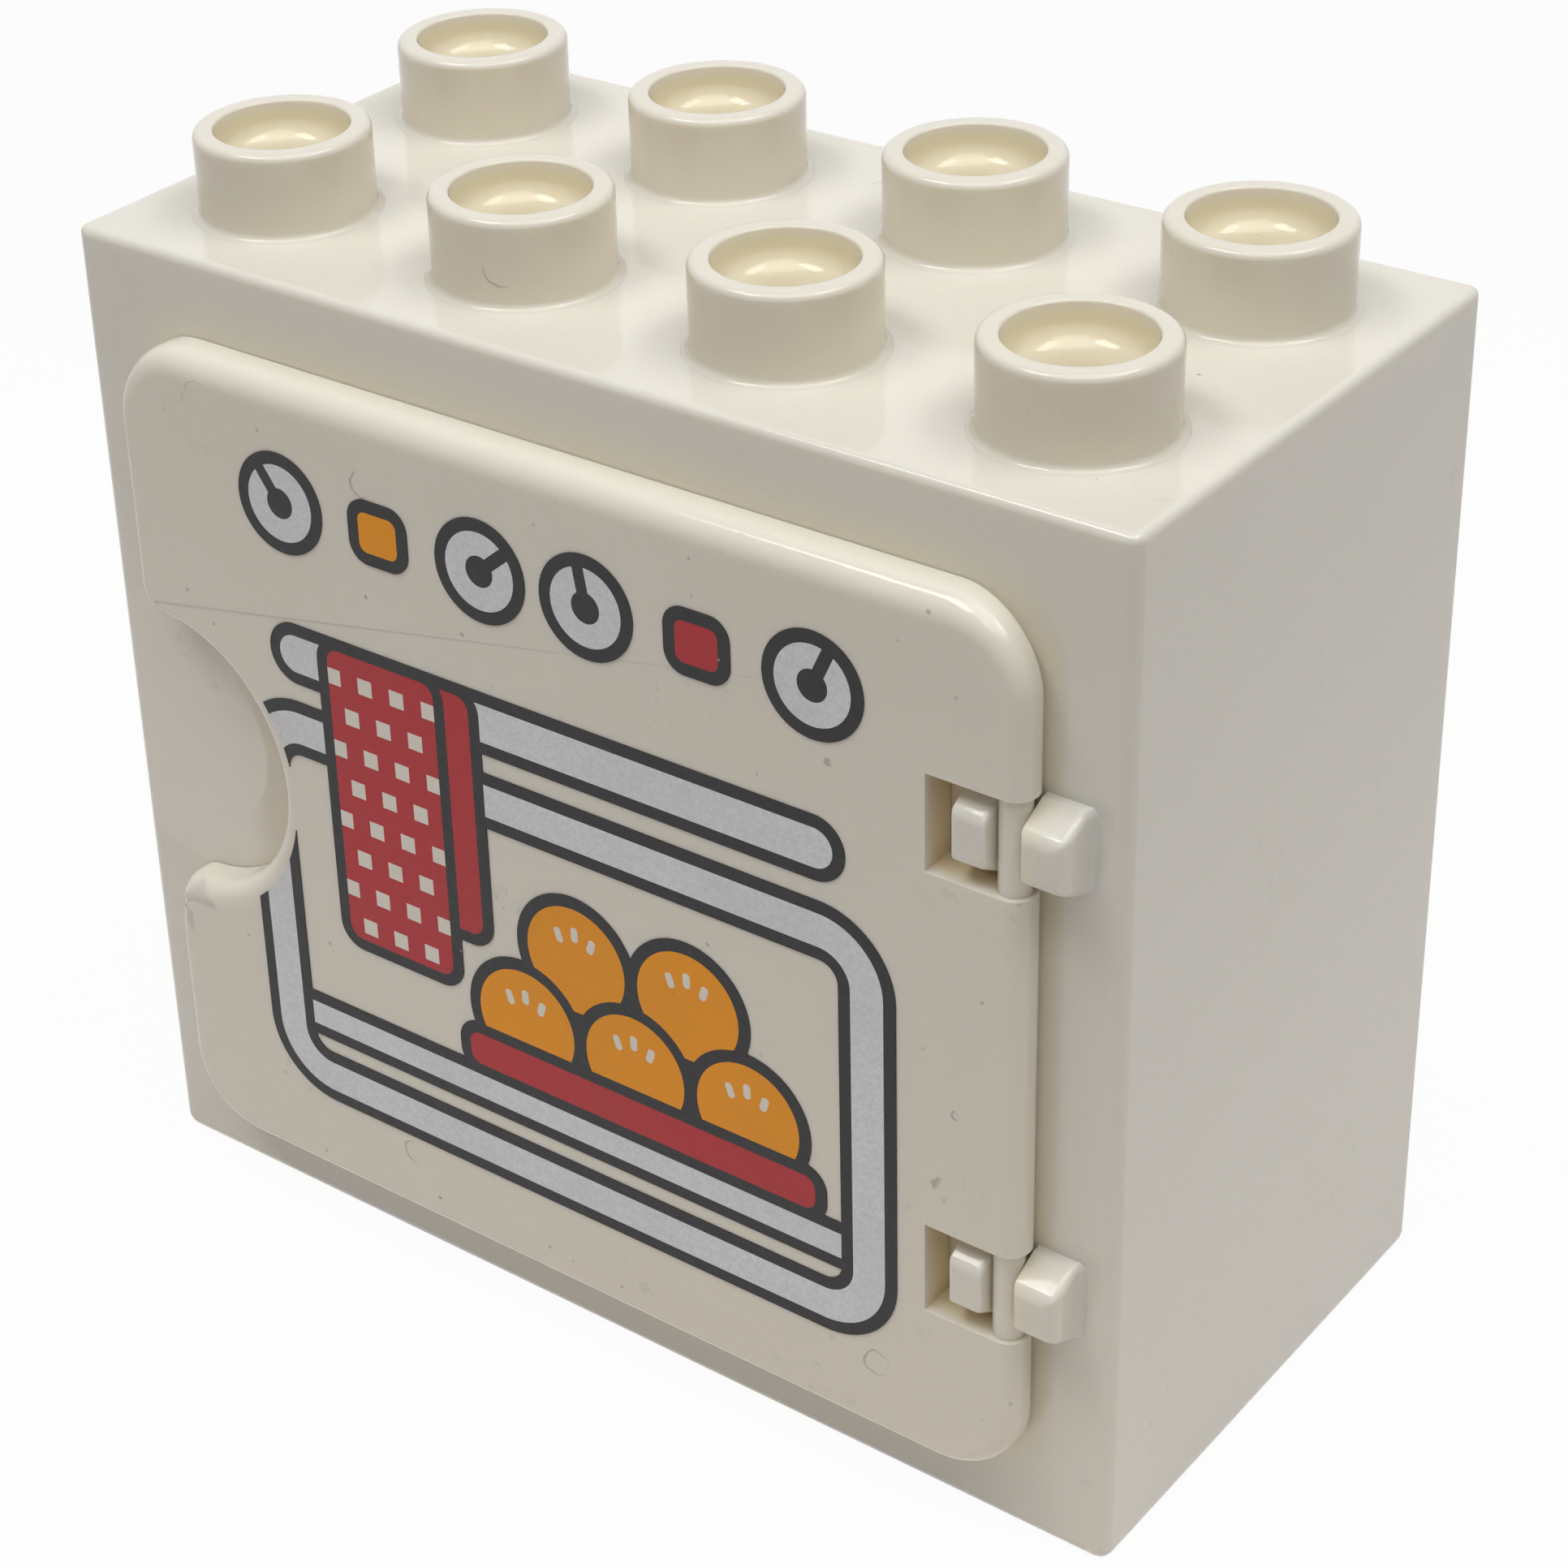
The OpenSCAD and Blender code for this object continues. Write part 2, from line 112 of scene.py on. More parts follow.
class StudSettings(bpy.types.PropertyGroup):
    """Sizes of the studs and of the tubes that grip them."""

    pitch: length("Pitch", "Distance between neighbouring studs", 16.0)
    radius: length("Radius", "Radius of a stud", 4.65)
    height: length("Height", "Height of a stud", 4.6)
    recess_radius: length("Recess radius", "Radius of the recess at the rim", 3.55)
    recess_depth: length("Recess depth", "Depth of the recess", 2.3)
    outer_round: length("Outer rounding", "Rounding of the rim's outer edge", 0.42)
    inner_round: length("Inner rounding", "Rounding of the rim's inner edge", 0.15)
    foot_round: length("Foot rounding", "Fillet between a stud and the top", 0.38)
    tube_radius: length("Tube radius", "Outer radius of an underside tube", 6.61)
    tube_wall: length("Tube wall", "Wall thickness of an underside tube", 1.2)
    rib_reach: length("Rib reach", "How far a grip rib stands out from its wall", 1.4)
    rib_width: length("Rib width", "Width of a grip rib", 1.2)
    rib_height: length("Rib height", "Height of a grip rib", 7.0)


class DoorSettings(bpy.types.PropertyGroup):
    """Sizes of the door and of its hinge."""

    thickness: length("Thickness", "Thickness of the door", DOOR_HIGH[1] - DOOR_LOW[1])
    seating: length("Seating", "How much closer to the face the shown door lies", 0.05)
    back_edge: length("Back edge", "Rounding of the door's back edge", 0.04)
    corner: length("Corners", "Radius of the door's corners", 4.5)
    front_edge: length("Front edge", "Rounding of the door's front edge", 0.7)
    top_edge: length("Upper edge", "Rounding of the door's upper edge", 1.4)
    notch_edge: length("Notch edge", "Rounding of the notch's front edge", 0.9)
    lip_edge: length("Lip edge", "Rounding of the front edge at the notch's lower lip", 1.6)
    notch_radius: length("Notch radius", "Radius of the finger notch", 8.3)
    notch_inset: length("Notch inset", "How far the notch's centre lies inside the free edge", 0.9)
    notch_lip: length("Notch lip", "Rounding where the notch meets the free edge", 1.7)
    rod_radius: length("Rod radius", "Radius of the hinge rod in the clips", 0.8)
    clip_span: length("Clip span", "Distance between the clips", 25.4)
    clip_height: length("Clip height", "Height of a clip at the cabinet's face", 4.9)
    clip_tip: length("Clip tip", "Height of a clip at its tips", 2.2)
    clip_reach: length("Clip reach", "How far a clip stands out from the face", 2.4)
    tongue_width: length("Tongue width", "Width of the inner jaw of a clip", 1.9)
    jaw_width: length("Jaw width", "Width of the outer jaw of a clip", 2.4)
    jaw_height: length("Jaw height", "Height of the outer jaw at the cabinet's face", 4.5)
    window_width: length("Window width", "Width of a window beside the rod", 3.4)


class FinishSettings(bpy.types.PropertyGroup):
    """Colours of the plastics and inks."""

    cabinet_colour: colour("Cabinet", "Colour of the cabinet's plastic", (0.785, 0.757, 0.69))
    # The studs' yellower tint is partly their own yellowing and partly painted warm light bounced onto their
    # sides from the top.
    stud_colour: colour("Studs", "Colour of the studs, which have yellowed most", (0.79, 0.752, 0.67))
    door_colour: colour("Door", "Colour of the door's plastic", (0.79, 0.75, 0.66))
    outline_colour: colour("Outline ink", "Colour of the dark ink", (0.024, 0.021, 0.025))
    silver_colour: colour("Silver ink", "Colour of the silver ink", (0.71, 0.72, 0.755))
    amber_colour: colour("Amber ink", "Colour of the amber ink", (0.92, 0.34, 0.006))
    red_colour: colour("Red ink", "Colour of the red ink", (0.50, 0.03, 0.04))
    white_colour: colour("White ink", "Colour of the off-white ink", (0.82, 0.77, 0.70))


def hinge_axis(size):
    """Where the hinge's upright axis stands, in X and Y."""
    return DOOR_HIGH[0] - size.thickness / 2, (DOOR_LOW[1] + DOOR_HIGH[1]) / 2


def deselect():
    """Leaves edit mode and selects nothing."""
    if bpy.context.object is not None and bpy.context.object.mode != "OBJECT":
        bpy.ops.object.mode_set(mode="OBJECT")
    bpy.ops.object.select_all(action="DESELECT")


def activate(piece):
    deselect()
    piece.select_set(True)
    bpy.context.view_layer.objects.active = piece


def named(name):
    """Names the object that was just added."""
    piece = bpy.context.object
    piece.name = name
    piece.data.name = name
    return piece


def smooth_step(share):
    """Eases a share between 0 and 1 in and out."""
    share = min(1.0, max(0.0, share))
    return share * share * (3 - 2 * share)


def settle(piece):
    """Writes the piece's place, turn and size into its mesh."""
    activate(piece)
    bpy.ops.object.transform_apply(location=True, rotation=True, scale=True)


def block(name, low, high):
    """A box between two corners."""
    deselect()
    bpy.ops.mesh.primitive_cube_add(size=1, location=[(a + b) / 2 for a, b in zip(low, high)])
    piece = named(name)
    piece.scale = [b - a for a, b in zip(low, high)]
    settle(piece)
    return piece


def drum(name, centre, radius, height):
    """An upright cylinder about its centre."""
    deselect()
    bpy.ops.mesh.primitive_cylinder_add(vertices=64, radius=radius, depth=height, location=centre)
    piece = named(name)
    settle(piece)
    return piece


def edit(piece, kind="EDGE"):
    """Enters edit mode with nothing selected."""
    activate(piece)
    bpy.ops.object.mode_set(mode="EDIT")
    bpy.ops.mesh.select_mode(type=kind)
    bpy.ops.mesh.select_all(action="DESELECT")


def pick_edges(piece, test):
    """In edit mode, selects the sharp edges whose two ends and direction pass the test."""
    shape = bmesh.from_edit_mesh(piece.data)
    found = 0
    for edge in shape.edges:
        sharp = len(edge.link_faces) == 2 and edge.calc_face_angle(0) > math.radians(40)
        edge.select_set(sharp and test(edge.verts[0].co, edge.verts[1].co))
        found += edge.select
    bmesh.update_edit_mesh(piece.data)
    if not found:
        raise RuntimeError(f"{piece.name} has no edge there")


def weigh_edges(piece, test, weight):
    """In edit mode, gives the sharp edges that pass the test a bevel weight."""
    pick_edges(piece, test)
    bpy.ops.transform.edge_bevelweight(value=weight)


def pick_faces(piece, test):
    """In edit mode, selects the faces whose middle and normal pass the test."""
    shape = bmesh.from_edit_mesh(piece.data)
    found = 0
    for face in shape.faces:
        face.select_set(test(face.calc_center_median(), face.normal))
        found += face.select
    bmesh.update_edit_mesh(piece.data)
    if not found:
        raise RuntimeError(f"{piece.name} has no face there")


def round_edges(piece, test, radius):
    """Rounds the sharp edges that pass the test."""
    edit(piece)
    pick_edges(piece, test)
    bpy.ops.mesh.bevel(offset=radius, offset_type="OFFSET", segments=6, profile=0.5, affect="EDGES")
    deselect()


def finish_with(piece, kind, **settings):
    """Adds a modifier and applies it."""
    modifier = piece.modifiers.new(kind.title(), kind)
    for key, value in settings.items():
        setattr(modifier, key, value)
    activate(piece)
    bpy.ops.object.modifier_apply(modifier=modifier.name)


def cut(piece, cutter):
    """Takes the cutter's shape out of the piece and removes the cutter."""
    finish_with(piece, "BOOLEAN", operation="DIFFERENCE", object=cutter, solver="EXACT")
    bpy.data.objects.remove(cutter)


def soften(piece, width, segments=3):
    """Takes the edge off every corner that is still sharp."""
    finish_with(
        piece, "BEVEL", width=width, segments=segments, limit_method="ANGLE",
        angle_limit=math.radians(50), use_clamp_overlap=True,
    )


def copy_to(piece, name, shift):
    """A copy with its own mesh, moved by the shift."""
    activate(piece)
    bpy.ops.object.duplicate(linked=False)
    twin = named(name)
    bpy.ops.transform.translate(value=shift)
    settle(twin)
    return twin


def join(pieces, name):
    activate(pieces[0])
    for piece in pieces[1:]:
        piece.select_set(True)
    bpy.ops.object.join()
    return named(name)


def arc(centre, radius, start, end, steps):
    """Points of an arc of a profile, as (distance from the axis, height)."""
    points = []
    for step in range(steps + 1):
        turn = math.radians(start + (end - start) * step / steps)
        points.append((centre[0] + radius * math.cos(turn), centre[1] + radius * math.sin(turn)))
    return points


def drawn(name, points):
    """A chain of edges through (x, z) points, left in edit mode with all of it selected."""
    deselect()
    bpy.ops.mesh.primitive_plane_add(size=1)
    piece = named(name)
    edit(piece, "VERT")
    bpy.ops.mesh.select_all(action="SELECT")
    bpy.ops.mesh.merge(type="CENTER")
    bpy.ops.transform.translate(value=(points[0][0], 0, points[0][1]))
    for here, there in zip(points, points[1:]):
        step = (there[0] - here[0], 0, there[1] - here[1])
        bpy.ops.mesh.extrude_vertices_move(TRANSFORM_OT_translate={"value": step})
    bpy.ops.mesh.select_all(action="SELECT")
    return piece


def slab(name, outline, front, back):
    """A flat piece with the given (x, z) outline between two depths."""
    piece = drawn(name, outline)
    bpy.ops.transform.translate(value=(0, front, 0))
    bpy.ops.mesh.edge_face_add()
    bpy.ops.mesh.extrude_region_move(TRANSFORM_OT_translate={"value": (0, back - front, 0)})
    bpy.ops.mesh.select_all(action="SELECT")
    bpy.ops.mesh.normals_make_consistent(inside=False)
    deselect()
    return piece


def lathe(name, profile, steps=96):
    """Spins a profile of (distance from the axis, height) points about the upright axis."""
    piece = drawn(name, profile)
    bpy.ops.mesh.spin(steps=steps, angle=math.tau, center=(0, 0, 0), axis=(0, 0, 1))
    bpy.ops.mesh.select_all(action="SELECT")
    bpy.ops.mesh.remove_doubles(threshold=0.0005)
    bpy.ops.mesh.normals_make_consistent(inside=False)
    deselect()
    return piece


def hand_over(piece, body, material, smooth=35):
    """Brings a finished piece to real size, shades it and hangs it on its body."""
    piece.scale = (MM, MM, MM)
    settle(piece)
    bpy.ops.object.shade_smooth_by_angle(angle=math.radians(smooth))
    finish_with(piece, "WEIGHTED_NORMAL", keep_sharp=True, weight=50)
    piece.data.materials.clear()
    piece.data.materials.append(material)
    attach(piece, body)


def group_for(name, inputs, outputs):
    """An empty shader node group with its sockets, and its input and output nodes."""
    group = bpy.data.node_groups.new(name, "ShaderNodeTree")
    for socket, kind, value in inputs:
        made = group.interface.new_socket(name=socket, in_out="INPUT", socket_type=kind)
        if value is not None:
            made.default_value = value
    for socket, kind in outputs:
        group.interface.new_socket(name=socket, in_out="OUTPUT", socket_type=kind)
    return group, group.nodes.new("NodeGroupInput"), group.nodes.new("NodeGroupOutput")


class Tree:
    """Short ways to add and link nodes in one node tree."""

    def __init__(self, tree):
        self.tree = tree

    def add(self, kind, **settings):
        node = self.tree.nodes.new(kind)
        for key, value in settings.items():
            setattr(node, key, value)
        return node

    def feed(self, value, socket):
        if isinstance(value, bpy.types.NodeSocket):
            self.tree.links.new(value, socket)
        else:
            socket.default_value = value

    def math(self, operation, a, b=0.0, clamp=False):
        node = self.add("ShaderNodeMath", operation=operation, use_clamp=clamp)
        self.feed(a, node.inputs[0])
        self.feed(b, node.inputs[1])
        return node.outputs[0]

    def ramp(self, value, low, high, to_low=0.0, to_high=1.0):
        """A smooth step between two values."""
        node = self.add("ShaderNodeMapRange", interpolation_type="SMOOTHSTEP")
        self.feed(value, node.inputs["Value"])
        self.feed(low, node.inputs["From Min"])
        self.feed(high, node.inputs["From Max"])
        self.feed(to_low, node.inputs["To Min"])
        self.feed(to_high, node.inputs["To Max"])
        return node.outputs["Result"]

    def noise(self, place, scale, detail=2.0, roughness=0.5):
        node = self.add("ShaderNodeTexNoise")
        self.feed(place, node.inputs["Vector"])
        self.feed(scale, node.inputs["Scale"])
        self.feed(detail, node.inputs["Detail"])
        self.feed(roughness, node.inputs["Roughness"])
        return node.outputs["Fac"]

    def stretch(self, place, turn, scale):
        node = self.add("ShaderNodeMapping")
        self.feed(place, node.inputs["Vector"])
        node.inputs["Rotation"].default_value = turn
        node.inputs["Scale"].default_value = scale
        return node.outputs["Vector"]

    def mix(self, share, a, b):
        node = self.add("ShaderNodeMix", data_type="RGBA")
        self.feed(share, node.inputs["Factor"])
        self.feed(a, node.inputs[6])
        self.feed(b, node.inputs[7])
        return node.outputs[2]

    def vector(self, operation, a, b=(0.0, 0.0, 0.0)):
        node = self.add("ShaderNodeVectorMath", operation=operation)
        self.feed(a, node.inputs[0])
        self.feed(b, node.inputs[1])
        return node.outputs["Value" if operation == "DOT_PRODUCT" else "Vector"]

    def length_of(self, place):
        node = self.add("ShaderNodeVectorMath", operation="LENGTH")
        self.feed(place, node.inputs[0])
        return node.outputs["Value"]

    def off_axis(self, place, centre):
        """Distance from a line along Y through the centre."""
        flat = self.vector("MULTIPLY", self.vector("SUBTRACT", place, centre), (1, 0, 1))
        return self.length_of(flat)

    def parts(self, place):
        node = self.add("ShaderNodeSeparateXYZ")
        self.feed(place, node.inputs[0])
        return node.outputs["X"], node.outputs["Y"], node.outputs["Z"]

    def shaken(self, place, scale, reach):
        """The place, pushed about by noise."""
        node = self.add("ShaderNodeTexNoise")
        self.feed(place, node.inputs["Vector"])
        self.feed(scale, node.inputs["Scale"])
        push = self.vector("MULTIPLY", node.outputs["Color"], (reach, reach, reach))
        return self.vector("ADD", place, push)

    def group(self, name, **inputs):
        node = self.add("ShaderNodeGroup")
        node.node_tree = bpy.data.node_groups[name]
        for key, value in inputs.items():
            self.feed(value, node.inputs[key.replace("_", " ")])
        return node


def make_scuffs():
    """Fine scratches in three directions, in patches."""
    group, start, end = group_for(
        "scuffs",
        [("Place", "NodeSocketVector", None), ("Amount", "NodeSocketFloat", 0.5)],
        [("Mask", "NodeSocketFloat")],
    )
    t = Tree(group)
    place = start.outputs["Place"]
    directions = (
        ((0.3, 0.9, 0.2), (60, 60, 2500)),
        ((1.2, 0.2, 1.1), (80, 2100, 80)),
        ((0.7, 2.1, 0.5), (1900, 70, 70)),
    )
    total = 0.0
    for turn, scale in directions:
        lines = t.ramp(t.noise(t.stretch(place, turn, scale), 1.0, 1.0), 0.72, 0.79)
        patches = t.ramp(t.noise(place, 130.0, 1.0), 0.5, 0.66)
        total = t.math("ADD", total, t.math("MULTIPLY", lines, patches), clamp=True)
    group.links.new(t.math("MULTIPLY", total, start.outputs["Amount"]), end.inputs["Mask"])


def make_specks():
    """Sparse dark specks of dust, and wider faint smudges."""
    group, start, end = group_for(
        "specks",
        [
            ("Place", "NodeSocketVector", None),
            ("Size", "NodeSocketFloat", 0.12),
            ("Share", "NodeSocketFloat", 0.1),
        ],
        [("Mask", "NodeSocketFloat"), ("Smudge", "NodeSocketFloat")],
    )
    t = Tree(group)
    place = start.outputs["Place"]
    cells = t.add("ShaderNodeTexVoronoi", feature="F1")
    t.feed(t.shaken(place, 2400.0, 0.00022), cells.inputs["Vector"])
    t.feed(620.0, cells.inputs["Scale"])
    split = t.add("ShaderNodeSeparateColor")
    t.feed(cells.outputs["Color"], split.inputs[0])
    chosen = t.math("LESS_THAN", split.outputs[0], start.outputs["Share"])
    size = t.math("MULTIPLY", split.outputs[1], start.outputs["Size"])
    dot = t.ramp(cells.outputs["Distance"], t.math("MULTIPLY", size, 0.55), size, 1.0, 0.0)
    depth = t.math("ADD", t.math("MULTIPLY", split.outputs[2], 0.7), 0.3)
    group.links.new(t.math("MULTIPLY", t.math("MULTIPLY", chosen, dot), depth), end.inputs["Mask"])
    spots = t.ramp(t.noise(place, 900.0, 3.0, 0.65), 0.60, 0.70)
    areas = t.ramp(t.noise(place, 75.0, 2.0), 0.58, 0.68)
    group.links.new(t.math("MULTIPLY", spots, areas), end.inputs["Smudge"])


def make_hairs():
    """Sparse short curved fibres and nicks."""
    group, start, end = group_for(
        "hairs",
        [
            ("Place", "NodeSocketVector", None),
            ("Share", "NodeSocketFloat", 0.3),
            ("Width", "NodeSocketFloat", 0.011),
        ],
        [("Mask", "NodeSocketFloat")],
    )
    t = Tree(group)
    place = t.shaken(start.outputs["Place"], 900.0, 0.0006)
    cells = t.add("ShaderNodeTexVoronoi", feature="F1")
    t.feed(place, cells.inputs["Vector"])
    t.feed(170.0, cells.inputs["Scale"])
    split = t.add("ShaderNodeSeparateColor")
    t.feed(cells.outputs["Color"], split.inputs[0])
    chosen = t.math("LESS_THAN", split.outputs[0], start.outputs["Share"])
    radius = t.math("ADD", t.math("MULTIPLY", split.outputs[1], 0.12), 0.05)
    ring = t.math("ABSOLUTE", t.math("SUBTRACT", cells.outputs["Distance"], radius))
    line = t.ramp(ring, t.math("MULTIPLY", start.outputs["Width"], 0.3), start.outputs["Width"], 1.0, 0.0)
    away = t.vector("NORMALIZE", t.vector("SUBTRACT", place, cells.outputs["Position"]))
    heading = t.vector("NORMALIZE", t.vector("SUBTRACT", cells.outputs["Color"], (0.5, 0.5, 0.5)))
    span = t.ramp(t.vector("DOT_PRODUCT", away, heading), 0.35, 0.75)
    group.links.new(t.math("MULTIPLY", t.math("MULTIPLY", chosen, line), span), end.inputs["Mask"])


def make_ripple():
    """The shallow waviness of a moulded wall and its fine orange peel, as a height."""
    group, start, end = group_for(
        "ripple",
        [
            ("Place", "NodeSocketVector", None),
            ("Waves", "NodeSocketFloat", 1.0),
            ("Peel", "NodeSocketFloat", 0.25),
        ],
        [("Height", "NodeSocketFloat")],
    )
    t = Tree(group)
    waves = t.math("MULTIPLY", t.noise(start.outputs["Place"], 55.0, 2.0), start.outputs["Waves"])
    peel = t.math("MULTIPLY", t.noise(start.outputs["Place"], 1500.0, 2.0), start.outputs["Peel"])
    group.links.new(t.math("ADD", waves, peel), end.inputs["Height"])


def make_recess_painted_shade():
    """Masks for a stud's painted shade: the wall of its recess, the floor of its recess, and its outer side.
    """
    group, start, end = group_for(
        "recess_painted_shade",
        [
            ("Place", "NodeSocketVector", None),
            ("Pitch", "NodeSocketFloat", 0.016),
            ("Radius", "NodeSocketFloat", 0.0036),
            ("Rim", "NodeSocketFloat", 0.0622),
            ("Depth", "NodeSocketFloat", 0.0023),
        ],
        [("Wall", "NodeSocketFloat"), ("Floor", "NodeSocketFloat"), ("Side", "NodeSocketFloat")],
    )
    t = Tree(group)
    x, y, z = t.parts(start.outputs["Place"])
    squares = []
    for along in (x, y):
        cell = t.math("FRACT", t.math("DIVIDE", along, start.outputs["Pitch"]))
        away = t.math("MULTIPLY", t.math("SUBTRACT", cell, 0.5), start.outputs["Pitch"])
        squares.append(t.math("MULTIPLY", away, away))
    distance = t.math("SQRT", t.math("ADD", *squares))
    sunk = t.math("DIVIDE", t.math("SUBTRACT", start.outputs["Rim"], z), start.outputs["Depth"])
    inside = t.math("LESS_THAN", distance, start.outputs["Radius"])
    outer = t.math("MULTIPLY", t.math("SUBTRACT", 1.0, inside), t.ramp(sunk, 0.05, 0.3))
    outer = t.math("MULTIPLY", outer, t.ramp(sunk, 1.6, 2.0, 1.0, 0.3))
    inside = t.math("MULTIPLY", inside, t.math("LESS_THAN", sunk, 1.3))
    group.links.new(outer, end.inputs["Side"])
    group.links.new(t.math("MULTIPLY", inside, t.ramp(sunk, 0.02, 0.4)), end.inputs["Wall"])
    group.links.new(t.math("MULTIPLY", inside, t.ramp(sunk, 0.75, 1.0)), end.inputs["Floor"])


def make_window_painted_shade():
    """How deep a place lies inside the two windows beside the hinge rod, for their painted warm shade."""
    group, start, end = group_for(
        "window_painted_shade",
        [
            ("Place", "NodeSocketVector", None),
            ("Middle", "NodeSocketVector", None),
            ("Span", "NodeSocketFloat", 0.0254),
            ("Half Width", "NodeSocketFloat", 0.002),
            ("Half Height", "NodeSocketFloat", 0.0028),
            ("Mouth", "NodeSocketFloat", 0.0),
            ("Depth", "NodeSocketFloat", 0.001),
        ],
        [("Mask", "NodeSocketFloat")],
    )
    t = Tree(group)
    x, y, z = t.parts(start.outputs["Place"])
    middle_x, _, middle_z = t.parts(start.outputs["Middle"])
    across = t.math("ABSOLUTE", t.math("SUBTRACT", x, middle_x))
    up = t.math("ABSOLUTE", t.math("SUBTRACT", z, middle_z))
    up = t.math("ABSOLUTE", t.math("SUBTRACT", up, t.math("DIVIDE", start.outputs["Span"], 2.0)))
    inside = t.math(
        "MULTIPLY",
        t.math("LESS_THAN", across, start.outputs["Half Width"]),
        t.math("LESS_THAN", up, start.outputs["Half Height"]),
    )
    sunk = t.math("DIVIDE", t.math("SUBTRACT", y, start.outputs["Mouth"]), start.outputs["Depth"])
    group.links.new(t.math("MULTIPLY", inside, t.ramp(sunk, 0.0, 1.0)), end.inputs["Mask"])


def make_gap_painted_light():
    """A soft band on the cabinet's face round the door: a painted glow of bounced light above it, and
    painted shade beside and below it.
    """
    group, start, end = group_for(
        "gap_painted_light",
        [
            ("Place", "NodeSocketVector", None),
            ("Middle", "NodeSocketVector", None),
            ("Half Width", "NodeSocketFloat", 0.028),
            ("Half Height", "NodeSocketFloat", 0.0245),
            ("Corner", "NodeSocketFloat", 0.0045),
            ("Face", "NodeSocketFloat", -0.0159),
            ("Reach", "NodeSocketFloat", 0.0012),
        ],
        [("Above", "NodeSocketFloat"), ("Beside", "NodeSocketFloat")],
    )
    t = Tree(group)
    x, y, z = t.parts(start.outputs["Place"])
    middle_x, _, middle_z = t.parts(start.outputs["Middle"])
    corner = start.outputs["Corner"]
    beyond = []
    for along, middle, half in ((x, middle_x, "Half Width"), (z, middle_z, "Half Height")):
        away = t.math("ABSOLUTE", t.math("SUBTRACT", along, middle))
        beyond.append(t.math("SUBTRACT", away, t.math("SUBTRACT", start.outputs[half], corner)))
    outside = [t.math("MAXIMUM", value, 0.0) for value in beyond]
    outside = t.math("SQRT", t.math("ADD", *[t.math("MULTIPLY", value, value) for value in outside]))
    within = t.math("MINIMUM", t.math("MAXIMUM", *beyond), 0.0)
    distance = t.math("SUBTRACT", t.math("ADD", outside, within), corner)
    on_face = t.math("LESS_THAN", y, t.math("ADD", start.outputs["Face"], 0.0003))
    uneven = t.ramp(t.noise(start.outputs["Place"], 160.0, 2.0), 0.3, 0.7, 0.6, 1.0)
    seen = t.math("MULTIPLY", on_face, uneven)
    top = start.outputs["Half Height"]
    over = t.ramp(t.math("SUBTRACT", z, middle_z), t.math("ADD", top, -0.003), t.math("ADD", top, 0.0005))
    wide = t.ramp(distance, 0.0, t.math("MULTIPLY", start.outputs["Reach"], 2.5), 1.0, 0.0)
    near = t.ramp(t.math("ABSOLUTE", distance), 0.0, start.outputs["Reach"], 1.0, 0.0)
    group.links.new(t.math("MULTIPLY", t.math("MULTIPLY", seen, over), wide), end.inputs["Above"])
    beside = t.math("MULTIPLY", near, t.math("SUBTRACT", 1.0, over))
    group.links.new(t.math("MULTIPLY", seen, beside), end.inputs["Beside"])


def object_place(t):
    return t.add("ShaderNodeTexCoord").outputs["Object"]


def bumped(t, height, distance):
    node = t.add("ShaderNodeBump")
    t.feed(height, node.inputs["Height"])
    node.inputs["Strength"].default_value = 1.0
    node.inputs["Distance"].default_value = distance
    return node.outputs["Normal"]


def shade(tint, factor=1.0):
    """The tint, darker or lighter by a factor, with full alpha."""
    return (*[part * factor for part in tint], 1.0)


def new_material(name):
    material = bpy.data.materials.new(name)
    material.use_nodes = True
    return Tree(material.node_tree), material.node_tree.nodes["Principled BSDF"]


def plastic(name, tint, grime, scuff, painted_light_parts):
    """Glossy moulded plastic with faint flow marks, scuffs, dust and fibres, and the painted light and shade
    of the given parts.
    """
    smudge, fibre, dust = (0.40, 0.42, 0.37), (0.24, 0.22, 0.18), (0.16, 0.14, 0.11)
    t, shader = new_material(name)
    place = object_place(t)
    tone = t.ramp(t.noise(place, 38.0, 3.0), 0.3, 0.7)
    yellowed = (tint[0] * 0.99, tint[1] * 0.975, tint[2] * 0.93, 1.0)
    base = t.mix(t.math("MULTIPLY", tone, 0.5), shade(tint), yellowed)
    # Each mask mixes in a painted light or painted shade tint.
    for mask, warm in painted_light_parts(t, place):
        base = t.mix(mask, base, shade(warm))
    specks = t.group("specks", Place=place, Share=0.27 * grime, Size=0.11)
    hairs = t.group("hairs", Place=place, Share=0.42 * grime).outputs["Mask"]
    scuffs = t.group("scuffs", Place=place, Amount=scuff).outputs["Mask"]
    base = t.mix(t.math("MULTIPLY", scuffs, 0.22), base, shade(tint, 0.72))
    base = t.mix(t.math("MULTIPLY", specks.outputs["Smudge"], 0.3 * grime), base, shade(smudge))
    base = t.mix(t.math("MULTIPLY", hairs, 0.5), base, shade(fibre))
    base = t.mix(t.math("MULTIPLY", specks.outputs["Mask"], 0.6), base, shade(dust))
    t.feed(base, shader.inputs["Base Color"])
    rough = t.ramp(t.noise(place, 90.0, 3.0), 0.3, 0.7, 0.06, 0.11)
    t.feed(t.math("ADD", rough, t.math("MULTIPLY", scuffs, 0.25)), shader.inputs["Roughness"])
    ripple = t.group("ripple", Place=place).outputs["Height"]
    marks = t.math("ADD", t.math("MULTIPLY", scuffs, -0.12), t.math("MULTIPLY", hairs, 0.2))
    t.feed(bumped(t, t.math("ADD", ripple, marks), 0.00005), shader.inputs["Normal"])
    shader.inputs["IOR"].default_value = 1.5
    shader.inputs["Subsurface Weight"].default_value = 0.22
    shader.inputs["Subsurface Radius"].default_value = (1.0, 0.75, 0.45)
    shader.inputs["Subsurface Scale"].default_value = 0.0016


